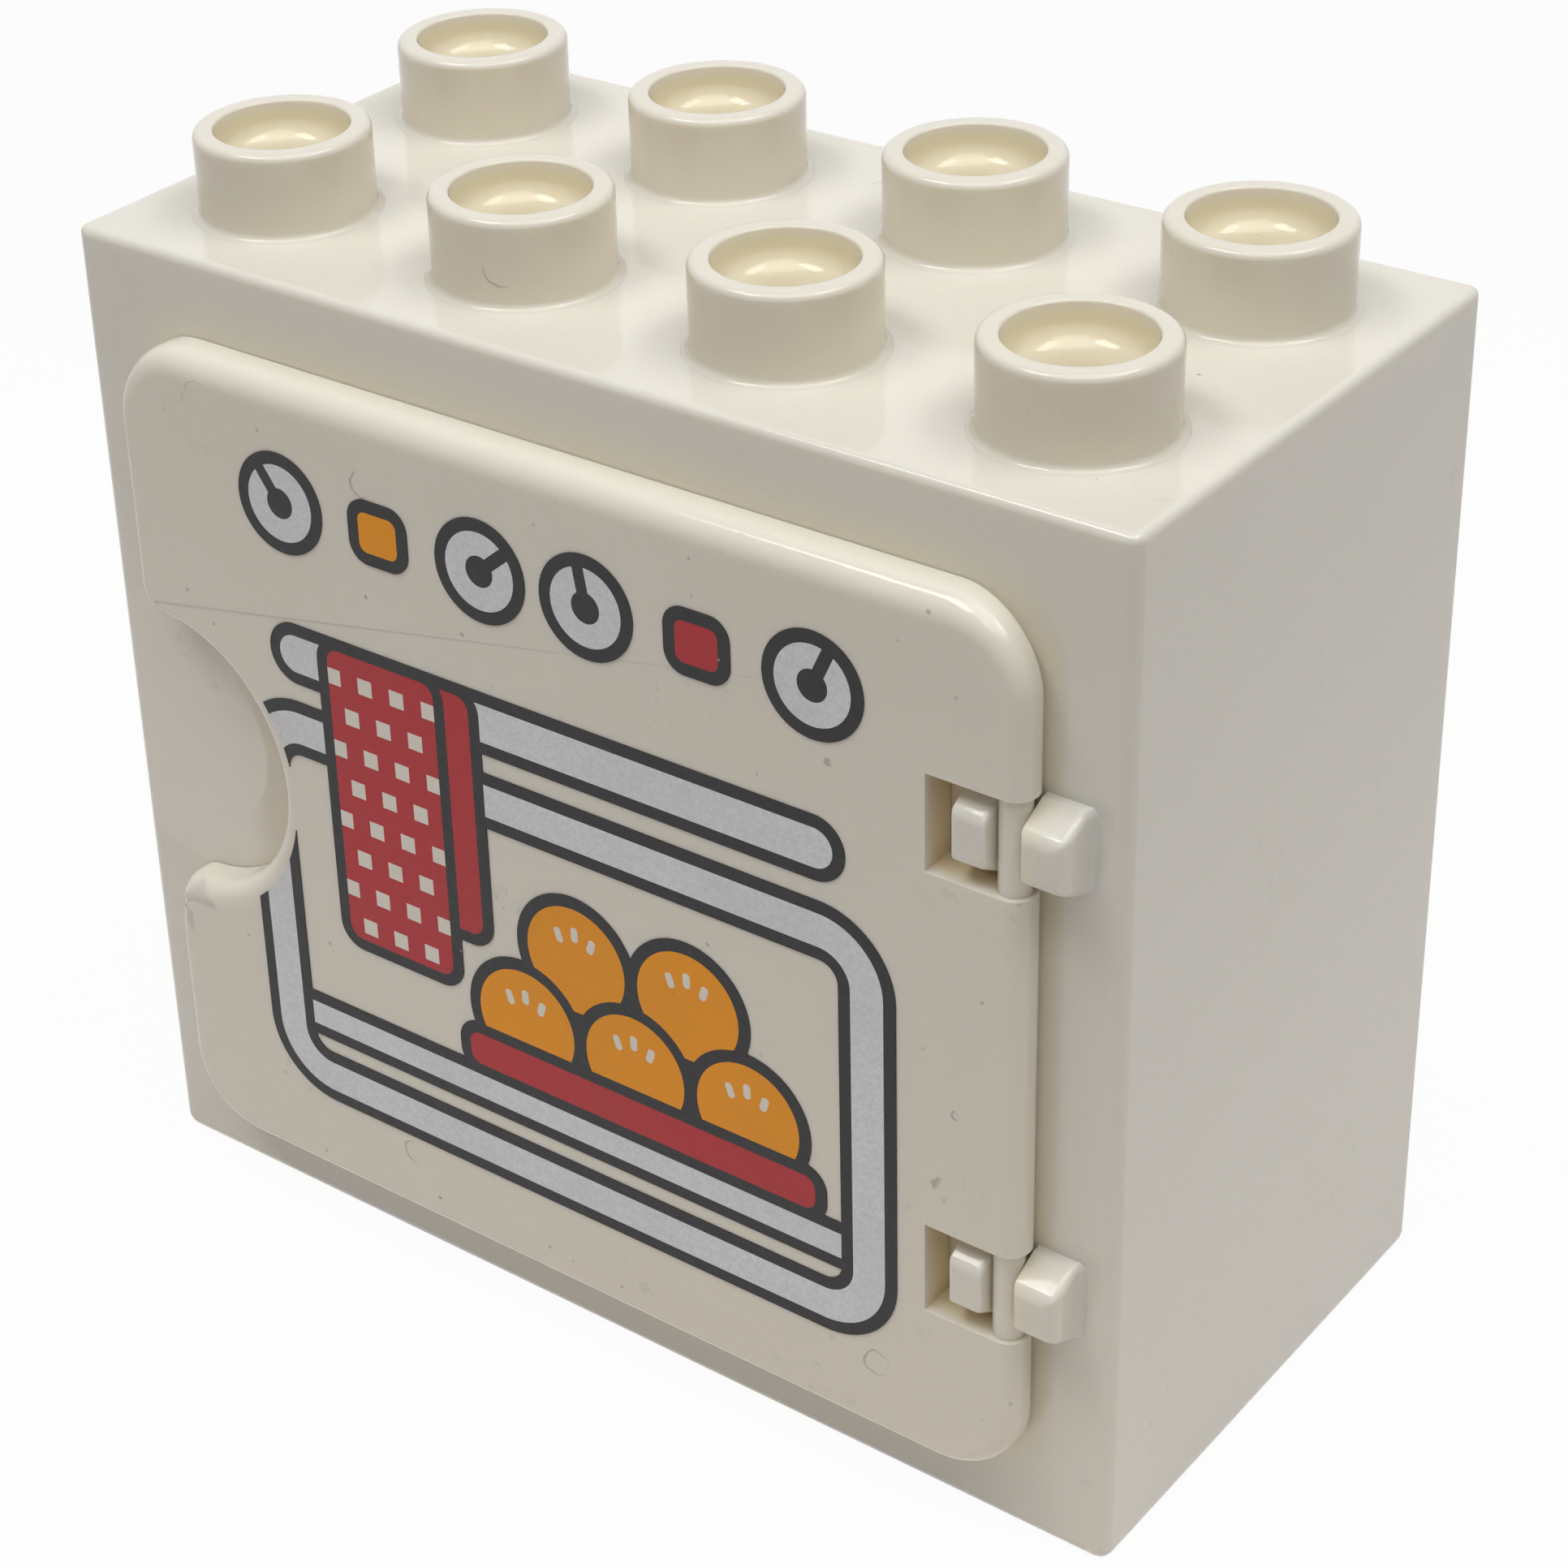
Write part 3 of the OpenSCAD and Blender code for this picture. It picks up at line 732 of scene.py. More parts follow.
def ink(name, tint, fade, metal=0.0, rough=0.36, worn=0.3, grained=0.07, raised=0.0):
    """Pad-printed ink with thin patches, a fine grain and light scratches."""
    dust = (0.62, 0.58, 0.50)
    t, shader = new_material(name)
    place = object_place(t)
    patches = t.ramp(t.noise(place, 150.0, 4.0, 0.6), 0.35, 0.75)
    grain = t.ramp(t.noise(place, 5200.0, 2.0), 0.35, 0.65)
    streaks = t.ramp(t.noise(t.stretch(place, (0.0, 0.45, 0.0), (300, 1, 1500)), 1.0, 3.0), 0.45, 0.75)
    base = t.mix(t.math("MULTIPLY", patches, 0.35), shade(tint), shade(fade))
    base = t.mix(t.math("MULTIPLY", grain, grained), base, shade(fade))
    base = t.mix(t.math("MULTIPLY", streaks, 0.3 * worn), base, shade(fade, 1.1))
    scuffs = t.group("scuffs", Place=place, Amount=worn).outputs["Mask"]
    hairs = t.group("hairs", Place=place, Share=0.5, Width=0.008).outputs["Mask"]
    specks = t.group("specks", Place=place, Share=0.15, Size=0.09).outputs["Mask"]
    base = t.mix(t.math("MULTIPLY", scuffs, 0.5), base, shade(fade, 1.15))
    base = t.mix(t.math("MULTIPLY", hairs, 0.5 * worn), base, shade(tint, 0.6))
    base = t.mix(t.math("MULTIPLY", specks, 0.45), base, shade(dust))
    t.feed(base, shader.inputs["Base Color"])
    t.feed(t.math("ADD", rough, t.math("MULTIPLY", grain, 0.08)), shader.inputs["Roughness"])
    shader.inputs["Metallic"].default_value = metal
    shader.inputs["IOR"].default_value = 1.36
    ripple = t.group("ripple", Place=place, Peel=0.6).outputs["Height"]
    height = t.math("ADD", ripple, t.math("MULTIPLY", streaks, 0.35 * worn))
    height = t.math("ADD", height, t.math("MULTIPLY", grain, raised))
    t.feed(bumped(t, height, 0.00005), shader.inputs["Normal"])


def scene_settings():
    """The four groups of settings, in the order of the panel."""
    scene = bpy.context.scene
    return scene.oven_cabinet, scene.oven_studs, scene.oven_door, scene.oven_finish


def material_for(name):
    return bpy.data.materials[name]


class OVEN_OT_finishes(bpy.types.Operator):
    """Makes the plastics and inks."""

    bl_idname = "oven.finishes"
    bl_label = "Plastics and Inks"

    def execute(self, context):
        for make in (
            make_scuffs, make_specks, make_hairs, make_ripple,
            make_recess_painted_shade, make_window_painted_shade, make_gap_painted_light,
        ):
            make()
        cabinet, studs, door, finish = scene_settings()
        depth, height = cabinet.depth, cabinet.height
        # Painted warm shade for the crevices and windows, a painted glow of light bounced off the door's
        # top, and a painted shadow inside the notch.
        crevice_shade, painted_bounce_glow, notch_shadow_tint = (0.86, 0.73, 0.49), (0.90, 0.81, 0.60), (0.68, 0.61, 0.47)
        # Painted light on the notch's lower lip, on the door's upper ledge and on the cabinet's face inside
        # the notch.
        lip_painted_light, pale, notch_face_painted_light = (0.93, 0.88, 0.77), (0.87, 0.83, 0.735), (0.86, 0.81, 0.72)
        # Painted shade: warmer and darker tints for the studs' recess walls, recess floors and outer sides.
        recess_wall_shade, recess_floor_shade, stud_side_shade = (0.79, 0.72, 0.53), (0.57, 0.51, 0.375), (0.77, 0.715, 0.595)
        middle = [(low + high) / 2 * MM for low, high in zip(DOOR_LOW, DOOR_HIGH)]
        notch_centre = (DOOR_LOW[0] * MM + door.notch_inset, 0.0, middle[2])
        axis_x = hinge_axis(in_millimetres(door))[0] * MM
        window_x = axis_x - door.rod_radius - door.window_width / 2

        def recesses(t, place):
            warmth = t.group(
                "recess_painted_shade", Place=place, Pitch=studs.pitch, Radius=studs.recess_radius + 0.05 * MM,
                Rim=height + studs.height, Depth=studs.recess_depth,
            )
            # The recess's wall and floor and the stud's outer side get painted shade.
            return (
                (warmth.outputs["Wall"], recess_wall_shade),
                (warmth.outputs["Floor"], recess_floor_shade),
                (warmth.outputs["Side"], stud_side_shade),
            )

        def windows(t, place, mouth, deep):
            return t.group(
                "window_painted_shade", Place=place, Middle=(window_x, 0.0, middle[2]), Span=door.clip_span,
                Half_Width=door.window_width / 2 + 0.15 * MM, Half_Height=door.clip_height / 2 + 0.42 * MM,
                Mouth=mouth, Depth=deep,
            ).outputs["Mask"]

        def door_parts(t, place):
            z = t.parts(place)[2]
            ledge = t.ramp(z, (DOOR_HIGH[2] - 1.7) * MM, (DOOR_HIGH[2] - 0.5) * MM)
            beyond = t.math("SUBTRACT", t.off_axis(place, notch_centre), door.notch_radius)
            lip = t.ramp(beyond, 0.0005, 0.0018, 1.0, 0.0)
            lip = t.math("MULTIPLY", lip, t.ramp(z, middle[2] - 0.007, middle[2] - 0.004, 1.0, 0.0))
            # Painted light on the upper ledge and on the notch's lower lip, and painted warm shade inside
            # the windows.
            return (
                (t.math("MULTIPLY", ledge, 0.8), pale),
                (t.math("MULTIPLY", lip, 0.85), lip_painted_light),
                (t.math("MULTIPLY", windows(t, place, DOOR_LOW[1] * MM + 0.0001, 0.0011), 0.8), crevice_shade),
            )

        def cabinet_parts(t, place):
            gap = t.group(
                "gap_painted_light", Place=place, Middle=middle, Half_Width=(DOOR_HIGH[0] - DOOR_LOW[0]) / 2 * MM,
                Half_Height=(DOOR_HIGH[2] - DOOR_LOW[2]) / 2 * MM, Corner=door.corner, Face=-depth / 2,
            ).outputs
            x, y, _ = t.parts(place)
            face = t.ramp(y, -0.5 * depth + 0.0004, -0.5 * depth + 0.0012, 1.0, 0.0)
            beyond = t.math("SUBTRACT", t.off_axis(place, notch_centre), door.notch_radius)
            bare = t.math("MULTIPLY", face, t.ramp(beyond, 0.0, 0.0005, 1.0, 0.0))
            covered = t.math("SUBTRACT", 0.45, t.math("MULTIPLY", bare, 0.45))
            # A painted shadow band on the face inside the notch, near its right side.
            notch_shadow_band = t.math("MULTIPLY", bare, t.ramp(beyond, -0.0032, -0.0029))
            notch_shadow_band = t.math("MULTIPLY", notch_shadow_band, t.ramp(x, notch_centre[0] + 0.003, notch_centre[0] + 0.0055))
            seats = t.math("MULTIPLY", face, windows(t, place, -0.5 * depth - 0.0013, 0.001))
            return (
                # Painted light on the face inside the notch.
                (t.math("MULTIPLY", bare, 0.4), notch_face_painted_light),
                (t.math("MULTIPLY", notch_shadow_band, 0.75), notch_shadow_tint),
                # A painted glow above the door, and painted warm shade beside it and behind the windows.
                (t.math("MULTIPLY", gap["Above"], 0.5), painted_bounce_glow),
                (t.math("MULTIPLY", gap["Beside"], covered), crevice_shade),
                (t.math("MULTIPLY", seats, 0.8), crevice_shade),
            )

        plastic("cabinet_plastic", finish.cabinet_colour, grime=0.6, scuff=0.35, painted_light_parts=cabinet_parts)
        plastic("stud_plastic", finish.stud_colour, grime=0.5, scuff=0.3, painted_light_parts=recesses)
        plastic("door_plastic", finish.door_colour, grime=1.0, scuff=0.6, painted_light_parts=door_parts)
        ink("outlines_ink", finish.outline_colour, (0.038, 0.042, 0.042), rough=0.33, worn=0.25)
        ink(
            "silver_ink", finish.silver_colour, (0.57, 0.56, 0.575),
            metal=0.15, rough=0.34, worn=0.8, grained=0.5, raised=0.2,
        )
        ink("amber_ink", finish.amber_colour, (0.72, 0.30, 0.02), rough=0.38)
        ink("red_ink", finish.red_colour, (0.40, 0.05, 0.055), rough=0.38)
        ink("white_ink", finish.white_colour, (0.74, 0.69, 0.6), rough=0.38)
        return {"FINISHED"}


class OVEN_OT_cabinet(bpy.types.Operator):
    """Builds the hollow cabinet shell with its oven cavity, side wells and open underside."""

    bl_idname = "oven.cabinet"
    bl_label = "Cabinet Shell"

    def execute(self, context):
        size = in_millimetres(context.scene.oven_cabinet)
        half_w, half_d, top = CABINET_HIGH[0], size.depth / 2, size.height
        shell = block("cabinet_shell", (-half_w, -half_d, 0), (half_w, half_d, top))
        widest = max(size.upright_edge, size.top_edge, size.foot_edge)
        edit(shell)
        weigh_edges(shell, lambda a, b: abs(a.z - b.z) > 1, size.upright_edge / widest)
        weigh_edges(shell, lambda a, b: min(a.z, b.z) > top / 2, size.top_edge / widest)
        weigh_edges(shell, lambda a, b: max(a.z, b.z) < top / 2, size.foot_edge / widest)
        finish_with(shell, "BEVEL", width=widest, segments=6, limit_method="WEIGHT")
        reach_w, reach_d, past = half_w - size.wall, half_d - size.wall, 1
        low = (-size.cavity_width / 2, -half_d - past, size.cavity_floor)
        high = (size.cavity_width / 2, reach_d, size.cavity_floor + size.cavity_height)
        cavity = block("cavity_cutter", low, high)
        round_edges(cavity, lambda a, b: abs(a.y - b.y) > 1, size.cavity_edge)
        cut(shell, cavity)
        ceiling = size.cavity_floor - size.inner_wall
        cut(shell, block("underside_cutter", (-reach_w, -reach_d, -past), (reach_w, reach_d, ceiling)))
        for side in (-1, 1):
            inner, outer = side * (reach_w - size.well_width), side * reach_w
            well = block(
                "well_cutter",
                (min(inner, outer), -reach_d, ceiling - 2 * past),
                (max(inner, outer), reach_d, top - size.roof),
            )
            cut(shell, well)
        soften(shell, 0.2)
        hand_over(shell, "cabinet", material_for("cabinet_plastic"))
        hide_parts("cabinet")
        return {"FINISHED"}


class OVEN_OT_studs(bpy.types.Operator):
    """Builds the eight recessed studs on top of the cabinet."""

    bl_idname = "oven.studs"
    bl_label = "Studs"

    def execute(self, context):
        size, top = in_millimetres(context.scene.oven_studs), context.scene.oven_cabinet.height / MM
        radius, height, foot = size.radius, size.height, size.foot_round
        rim_out, rim_in, inner = size.outer_round, size.inner_round, size.recess_radius
        floor = height - size.recess_depth
        sunk = 0.05
        profile = [(radius + foot + sunk, -sunk)]
        profile += arc((radius + foot, foot), foot, 270, 180, 6)
        profile += arc((radius - rim_out, height - rim_out), rim_out, 0, 90, 8)
        profile += arc((inner + rim_in, height - rim_in), rim_in, 90, 180, 6)
        # The recess has a slight taper, a wide round at its floor and a shallow dip in the middle.
        bowl = 1.45
        profile += arc((inner - 0.08 - bowl, floor + 0.12 + bowl), bowl, 0, -84, 10)
        profile += [(1.3, floor + 0.04), (0.9, floor + 0.01), (0.5, floor - 0.06), (0.0, floor - 0.08)]
        first = lathe("stud", profile)
        for row, y in (("a", -0.5), ("b", 0.5)):
            for column in range(4):
                place = ((column - 1.5) * size.pitch, y * size.pitch, top)
                stud = copy_to(first, f"stud_{row}{column + 1}", place)
                hand_over(stud, "cabinet", material_for("stud_plastic"), smooth=40)
        bpy.data.objects.remove(first)
        return {"FINISHED"}


class OVEN_OT_clutch(bpy.types.Operator):
    """Builds the tubes and ribs under the cabinet that grip the studs of a brick below."""

    bl_idname = "oven.clutch"
    bl_label = "Underside Clutch"

    def execute(self, context):
        cabinet = in_millimetres(context.scene.oven_cabinet)
        size = in_millimetres(context.scene.oven_studs)
        ceiling = cabinet.cavity_floor - cabinet.inner_wall
        outer, inner, lip, sunk = size.tube_radius, size.tube_radius - size.tube_wall, 0.2, 0.05
        profile = [(inner, ceiling + sunk), (inner, lip)]
        profile += arc((inner + lip, lip), lip, 180, 270, 4)
        profile += arc((outer - lip, lip), lip, 270, 360, 4)
        profile += [(outer, ceiling + sunk)]
        first = lathe("tube", profile)
        for number, x in enumerate((-size.pitch, 0, size.pitch)):
            tube = copy_to(first, f"clutch_tube_{number + 1}", (x, 0, 0))
            hand_over(tube, "cabinet", material_for("cabinet_plastic"))
        bpy.data.objects.remove(first)
        wall_x, wall_y = CABINET_HIGH[0] - cabinet.wall, cabinet.depth / 2 - cabinet.wall
        ribs, half, start, end = [], size.rib_width / 2, 0.02, size.rib_height
        for side in (-1, 1):
            for column in range(4):
                x = (column - 1.5) * size.pitch
                y = sorted((side * (wall_y + sunk), side * (wall_y - size.rib_reach)))
                ribs.append(block("rib", (x - half, y[0], start), (x + half, y[1], end)))
            for row in (-0.5, 0.5):
                x = sorted((side * (wall_x + sunk), side * (wall_x - size.rib_reach)))
                y = row * size.pitch
                ribs.append(block("rib", (x[0], y - half, start), (x[1], y + half, end)))
        clutch = join(ribs, "clutch_ribs")
        soften(clutch, 0.15, 2)
        hand_over(clutch, "cabinet", material_for("cabinet_plastic"))
        return {"FINISHED"}


class OVEN_OT_clips(bpy.types.Operator):
    """Builds the two pairs of hinge jaws on the cabinet's face."""

    bl_idname = "oven.clips"
    bl_label = "Hinge Clips"

    def execute(self, context):
        size = in_millimetres(context.scene.oven_door)
        face = -context.scene.oven_cabinet.depth / 2 / MM
        axis_x, axis_y = hinge_axis(size)
        middle = (DOOR_LOW[2] + DOOR_HIGH[2]) / 2
        seat = size.rod_radius + 0.05
        jaws = (
            ("tongue", axis_x - seat - size.tongue_width, size.tongue_width, size.clip_height),
            ("jaw", axis_x + seat, size.jaw_width, size.jaw_height),
        )
        # Rounding of the tip's level edges, of its right edge and of the right side's long edges.
        edges = {"tongue": (0.35, 0.2, 0.35), "jaw": (0.55, 0.85, 0.4)}
        # The foot spreads towards the face in steps of depth, each with its share of the blend.
        blends = {"tongue": 0.1, "jaw": 0.3}
        foot_depth, foot_steps = 0.45, ((0.2, 0.12), (0.15, 0.33), (0.08, 0.55), (0.1, 0.0))
        for side, level in ((-1, "lower"), (1, "upper")):
            z = middle + side * size.clip_span / 2
            for kind, left, width, high in jaws:
                right, blend = left + width, blends[kind]
                piece = block(
                    f"{level}_{kind}",
                    (left, face - size.clip_reach, z - high / 2),
                    (right, face - foot_depth, z + high / 2),
                )
                edit(piece, "FACE")
                pick_faces(piece, lambda middle, normal: normal.y < -0.9)
                bpy.ops.transform.resize(value=(0.98, 1, (size.clip_tip + 0.3) / high))
                bpy.ops.object.mode_set(mode="OBJECT")
                edit(piece)
                tip = face - size.clip_reach + 0.1
                level_edge, upright_edge, side_edge = edges[kind]
                near = 0.2
                for weight, test in (
                    (level_edge, lambda a, b: max(a.y, b.y) < tip and abs(a.z - b.z) < near / 2),
                    (upright_edge, lambda a, b: max(a.y, b.y) < tip and min(a.x, b.x) > right - near),
                    (level_edge * 0.6, lambda a, b: max(a.y, b.y) < tip and max(a.x, b.x) < left + near),
                    (side_edge, lambda a, b: abs(a.y - b.y) > 1 and min(a.x, b.x) > right - near),
                ):
                    weigh_edges(piece, test, weight)
                finish_with(piece, "BEVEL", width=1.0, segments=6, limit_method="WEIGHT")
                edit(piece, "FACE")
                pick_faces(piece, lambda middle, normal: normal.y > 0.9)
                for depth, spread in foot_steps:
                    wider = 1 + blend * spread / (right - left)
                    taller = 1 + min(blend, 0.1) * spread / high
                    bpy.ops.mesh.extrude_region_move(
                        TRANSFORM_OT_translate={"value": (blend * spread / 2, depth, 0)}
                    )
                    bpy.ops.transform.resize(value=(wider, 1, taller))
                deselect()
                cut(piece, drum("seat_cutter", (axis_x, axis_y, z), seat, size.clip_height * 2))
                soften(piece, 0.1, 2)
                hand_over(piece, "cabinet", material_for("cabinet_plastic"), smooth=50)
        return {"FINISHED"}


class OVEN_OT_door(bpy.types.Operator):
    """Builds the door's plate with its finger notch and the two windows beside the rod."""

    bl_idname = "oven.door"
    bl_label = "Door Plate"

    def execute(self, context):
        size = in_millimetres(context.scene.oven_door)
        axis_x, axis_y = hinge_axis(size)
        front, back = DOOR_LOW[1], DOOR_HIGH[1] + size.seating
        left, right = DOOR_LOW[0], DOOR_HIGH[0]
        bottom, top = DOOR_LOW[2], DOOR_HIGH[2]
        middle = (bottom + top) / 2
        corner, lip, notch = size.corner, size.notch_lip, size.notch_radius
        lip_x, notch_x = left + lip, left + size.notch_inset
        lip_z = math.sqrt((notch + lip) ** 2 - (lip_x - notch_x) ** 2)
        turn = math.degrees(math.atan2(lip_z, lip_x - notch_x))
        outline = arc((left + corner, top - corner), corner, 90, 180, 14)
        outline += arc((lip_x, middle + lip_z), lip, 180, 180 + turn, 8)
        outline += arc((notch_x, middle), notch, turn, -turn, 44)[1:-1]
        outline += arc((lip_x, middle - lip_z), lip, 180 - turn, 180, 8)
        # These points let the rounding of the lower lip run out along the free edge.
        outline += [(left, middle - lip_z - 0.5 * step) for step in range(1, 7)]
        outline += arc((left + corner, bottom + corner), corner, 180, 270, 14)
        outline += arc((right - corner, bottom + corner), corner, 270, 360, 18)
        outline += arc((right - corner, top - corner), corner, 0, 90, 18)
        plate = slab("door_plate", outline, front, back)
        full, blend, lip_reach, lowest = size.thickness / 2, 3.0, 3.5, middle - lip_z - 1.7
        widest = max(full, size.front_edge, size.top_edge, size.notch_edge, size.lip_edge)
        edit(plate)
        shape = bmesh.from_edit_mesh(plate.data)
        weights = shape.edges.layers.float.new("bevel_weight_edge")
        for edge in shape.edges:
            here, there = edge.verts[0].co, edge.verts[1].co
            if abs(here.y - there.y) > 0.1:
                continue
            x, z = (here.x + there.x) / 2, (here.z + there.z) / 2
            hinge_side = smooth_step(max(0.0, x - right + corner) / corner)
            if here.y < axis_y:
                raised = smooth_step((min(here.z, there.z) - top + corner) / corner)
                soft = size.front_edge + (size.top_edge - size.front_edge) * raised
                if abs(z - middle) < lip_z:
                    soft += (size.notch_edge - soft) * smooth_step((x - left) / blend)
                if z < middle:
                    near_lip = smooth_step((notch_x + lip_reach - x) / lip_reach)
                    soft += (size.lip_edge - soft) * near_lip * smooth_step((z - lowest) / blend)
                edge[weights] = (soft + (full - soft) * hinge_side) / widest
            else:
                edge[weights] = (size.back_edge + (full * 0.94 - size.back_edge) * hinge_side) / widest
        bmesh.update_edit_mesh(plate.data)
        finish_with(plate, "BEVEL", width=widest, segments=7, limit_method="WEIGHT", use_clamp_overlap=False)
        for side in (-1, 1):
            z = middle + side * size.clip_span / 2
            half = size.clip_height / 2 + 0.15
            start = axis_x - size.rod_radius - size.window_width
            cut(plate, block("window_cutter", (start, front - 1, z - half), (right + 1, back + 1, z + half)))
        soften(plate, 0.18)
        # The rounding pulls the front a little out of its plane, so it is made one flat face again.
        edit(plate, "FACE")
        pick_faces(plate, lambda middle, normal: normal.y < -0.9999)
        bpy.ops.transform.resize(value=(1, 0, 1))
        bpy.ops.mesh.dissolve_limited(angle_limit=math.radians(1))
        bpy.ops.object.mode_set(mode="OBJECT")
        hand_over(plate, "door", material_for("door_plastic"))
        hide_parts("door")
        return {"FINISHED"}


class OVEN_OT_hinge_rod(bpy.types.Operator):
    """Builds the thin rod that the clips hold, bare only where the door's round edge is cut away."""

    bl_idname = "oven.hinge_rod"
    bl_label = "Hinge Rod"

    def execute(self, context):
        size = in_millimetres(context.scene.oven_door)
        axis_x, axis_y = hinge_axis(size)
        rod, flare = size.rod_radius, 0.18
        middle = (DOOR_LOW[2] + DOOR_HIGH[2]) / 2
        half_h = (DOOR_HIGH[2] - DOOR_LOW[2]) / 2 - size.corner
        gap = size.clip_height / 2 + 0.36
        profile = [(0, -half_h), (rod, -half_h)]
        for z in (-size.clip_span / 2, size.clip_span / 2):
            profile += arc((rod + flare, z - gap + flare), flare, 270, 180, 5)
            profile += arc((rod + flare, z + gap - flare), flare, 180, 90, 5)
        profile += [(rod, half_h), (0, half_h)]
        bar = lathe("hinge_rod", profile, 64)
        bar.location = (axis_x, axis_y, middle)
        settle(bar)
        hand_over(bar, "door", material_for("door_plastic"), smooth=50)
        return {"FINISHED"}


class OVEN_OT_print(bpy.types.Operator):
    """Gives the printed films on the door their inks."""

    bl_idname = "oven.print"
    bl_label = "Door Print"

    def execute(self, context):
        for node in PRINTS:
            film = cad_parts[node]
            film.data.materials.clear()
            film.data.materials.append(material_for(node.replace("print_", "") + "_ink"))
        return {"FINISHED"}


def area_light(name, place, aim, size, power, tint):
    """A rectangular lamp that shines towards a point."""
    light = bpy.data.lights.new(name, "AREA")
    light.shape = "RECTANGLE"
    light.size, light.size_y = size
    light.energy = power
    light.color = tint
    lamp = bpy.data.objects.new(name, light)
    bpy.context.scene.collection.objects.link(lamp)
    lamp.location = place
    lamp.rotation_euler = (Vector(aim) - Vector(place)).to_track_quat("-Z", "Y").to_euler()


def pale_surface():
    """A pale floor that looks white to the camera and in reflections, and keeps the shadow."""
    material = bpy.data.materials.new("pale_floor")
    material.use_nodes = True
    tree = material.node_tree
    t = Tree(tree)
    shader = tree.nodes["Principled BSDF"]
    place = object_place(t)
    near, far = (0.76, 0.72, 0.69), (0.27, 0.26, 0.25)
    away = t.ramp(t.length_of(place), 0.07, 0.22)
    base = t.mix(away, shade(near), shade(far))
    t.feed(base, shader.inputs["Base Color"])
    shader.inputs["Roughness"].default_value = 0.9
    glow = t.add("ShaderNodeEmission")
    glow.inputs["Color"].default_value = (1.0, 1.0, 1.0, 1.0)
    ray = t.add("ShaderNodeLightPath")
    seen = t.math("MAXIMUM", ray.outputs["Is Camera Ray"], ray.outputs["Is Transmission Ray"])
    seen = t.math("MAXIMUM", seen, ray.outputs["Is Glossy Ray"])
    share = t.math("MULTIPLY", seen, 0.96)
    mixed = t.add("ShaderNodeMixShader")
    t.feed(share, mixed.inputs[0])
    tree.links.new(shader.outputs[0], mixed.inputs[1])
    tree.links.new(glow.outputs[0], mixed.inputs[2])
    tree.links.new(mixed.outputs[0], tree.nodes["Material Output"].inputs["Surface"])
    return material


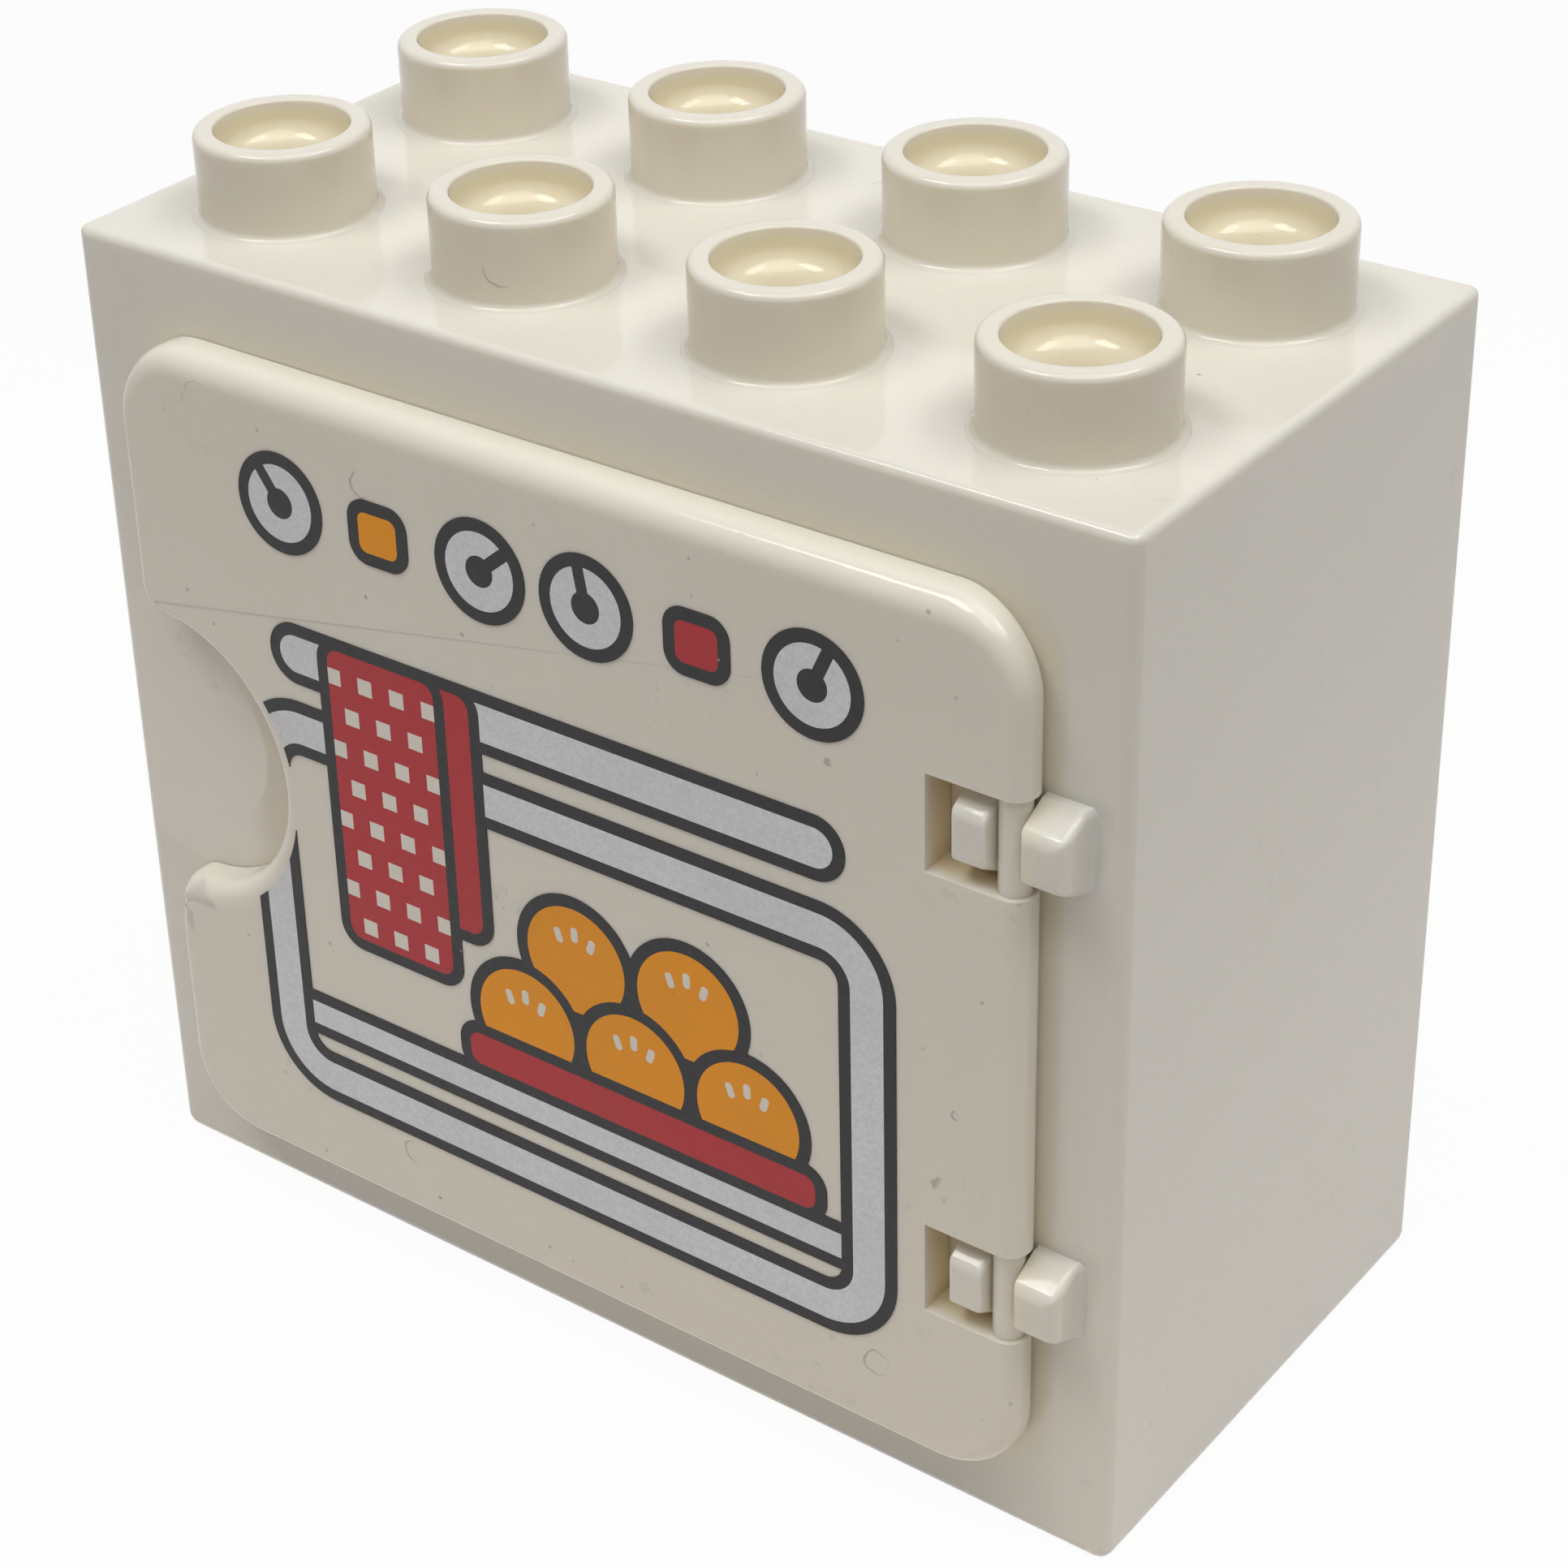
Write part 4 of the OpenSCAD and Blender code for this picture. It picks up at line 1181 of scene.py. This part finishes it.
class OVEN_OT_stage(bpy.types.Operator):
    """Sets up the floor, the soft lights, the surrounding glow and the camera."""

    bl_idname = "oven.stage"
    bl_label = "Studio"

    def execute(self, context):
        deselect()
        bpy.ops.mesh.primitive_circle_add(vertices=96, radius=3, fill_type="NGON", location=(0, 0, 0))
        floor = named("floor")
        floor.data.materials.append(pale_surface())
        world = bpy.data.worlds.new("studio")
        context.scene.world = world
        world.use_nodes = True
        t = Tree(world.node_tree)
        glow = world.node_tree.nodes["Background"]
        place = t.add("ShaderNodeTexCoord").outputs["Generated"]
        split = t.add("ShaderNodeSeparateXYZ")
        t.feed(place, split.inputs[0])
        height = t.ramp(split.outputs["Z"], -0.1, 0.9)
        low, high = (0.088, 0.081, 0.078), (0.14, 0.14, 0.14)
        room = t.mix(height, shade(low), shade(high))
        ray = t.add("ShaderNodeLightPath")
        shown = t.math("MAXIMUM", ray.outputs["Is Camera Ray"], ray.outputs["Is Glossy Ray"])
        shown = t.math("MAXIMUM", shown, ray.outputs["Is Transmission Ray"])
        seen = t.mix(shown, room, (1.0, 1.0, 1.0, 1.0))
        t.feed(seen, glow.inputs["Color"])
        warm_white, aim, strip = (1.0, 0.995, 0.975), (0, 0, 0.03), (0.4, 0.2)
        area_light("overhead_lamp", (0.19, -0.15, 0.74), aim, (0.66, 0.66), 3.05, warm_white)
        area_light("left_lamp", (-0.21, -0.28, 0.70), aim, strip, 1.6, warm_white)
        area_light("right_lamp", (0.34, 0.18, 0.67), aim, strip, 1.15, warm_white)
        # The camera stands where the grid of studs and the body's edges place it.
        camera = bpy.data.cameras.new("camera")
        camera.lens = 81.74
        camera.sensor_width = 36.0
        camera.shift_x = 0.1066
        camera.shift_y = -0.0859
        camera.clip_start = 0.01
        camera.clip_end = 20
        eye = bpy.data.objects.new("camera", camera)
        context.scene.collection.objects.link(eye)
        eye.location = (0.09914, -0.13148, 0.12689)
        eye.rotation_euler = [math.radians(turn) for turn in (60.9008, 2.4073, 38.3367)]
        context.scene.camera = eye
        context.scene.view_settings.view_transform = "Standard"
        return {"FINISHED"}


class OVEN_PT_panel(bpy.types.Panel):
    """Lists the steps that build the toy oven."""

    bl_idname = "OVEN_PT_panel"
    bl_label = "Toy Oven"
    bl_space_type = "VIEW_3D"
    bl_region_type = "UI"
    bl_category = "Toy Oven"

    def draw(self, context):
        for step in STEPS:
            self.layout.operator(step.bl_idname)
        for settings in scene_settings():
            box = self.layout.box()
            for key in settings.bl_rna.properties.keys():
                if key not in ("rna_type", "name"):
                    box.prop(settings, key)


STEPS = (
    OVEN_OT_finishes,
    OVEN_OT_cabinet,
    OVEN_OT_studs,
    OVEN_OT_clutch,
    OVEN_OT_clips,
    OVEN_OT_door,
    OVEN_OT_hinge_rod,
    OVEN_OT_print,
    OVEN_OT_stage,
)
SETTINGS = (
    ("oven_cabinet", CabinetSettings),
    ("oven_studs", StudSettings),
    ("oven_door", DoorSettings),
    ("oven_finish", FinishSettings),
)


def register():
    for name, kind in SETTINGS:
        bpy.utils.register_class(kind)
        setattr(bpy.types.Scene, name, bpy.props.PointerProperty(type=kind))
    for kind in (*STEPS, OVEN_PT_panel):
        bpy.utils.register_class(kind)


def unregister():
    for kind in (OVEN_PT_panel, *reversed(STEPS)):
        bpy.utils.unregister_class(kind)
    for name, kind in reversed(SETTINGS):
        delattr(bpy.types.Scene, name)
        bpy.utils.unregister_class(kind)


def main():
    register()
    for step in STEPS:
        group, name = step.bl_idname.split(".")
        getattr(getattr(bpy.ops, group), name)()


if __name__ == "__main__":
    main()
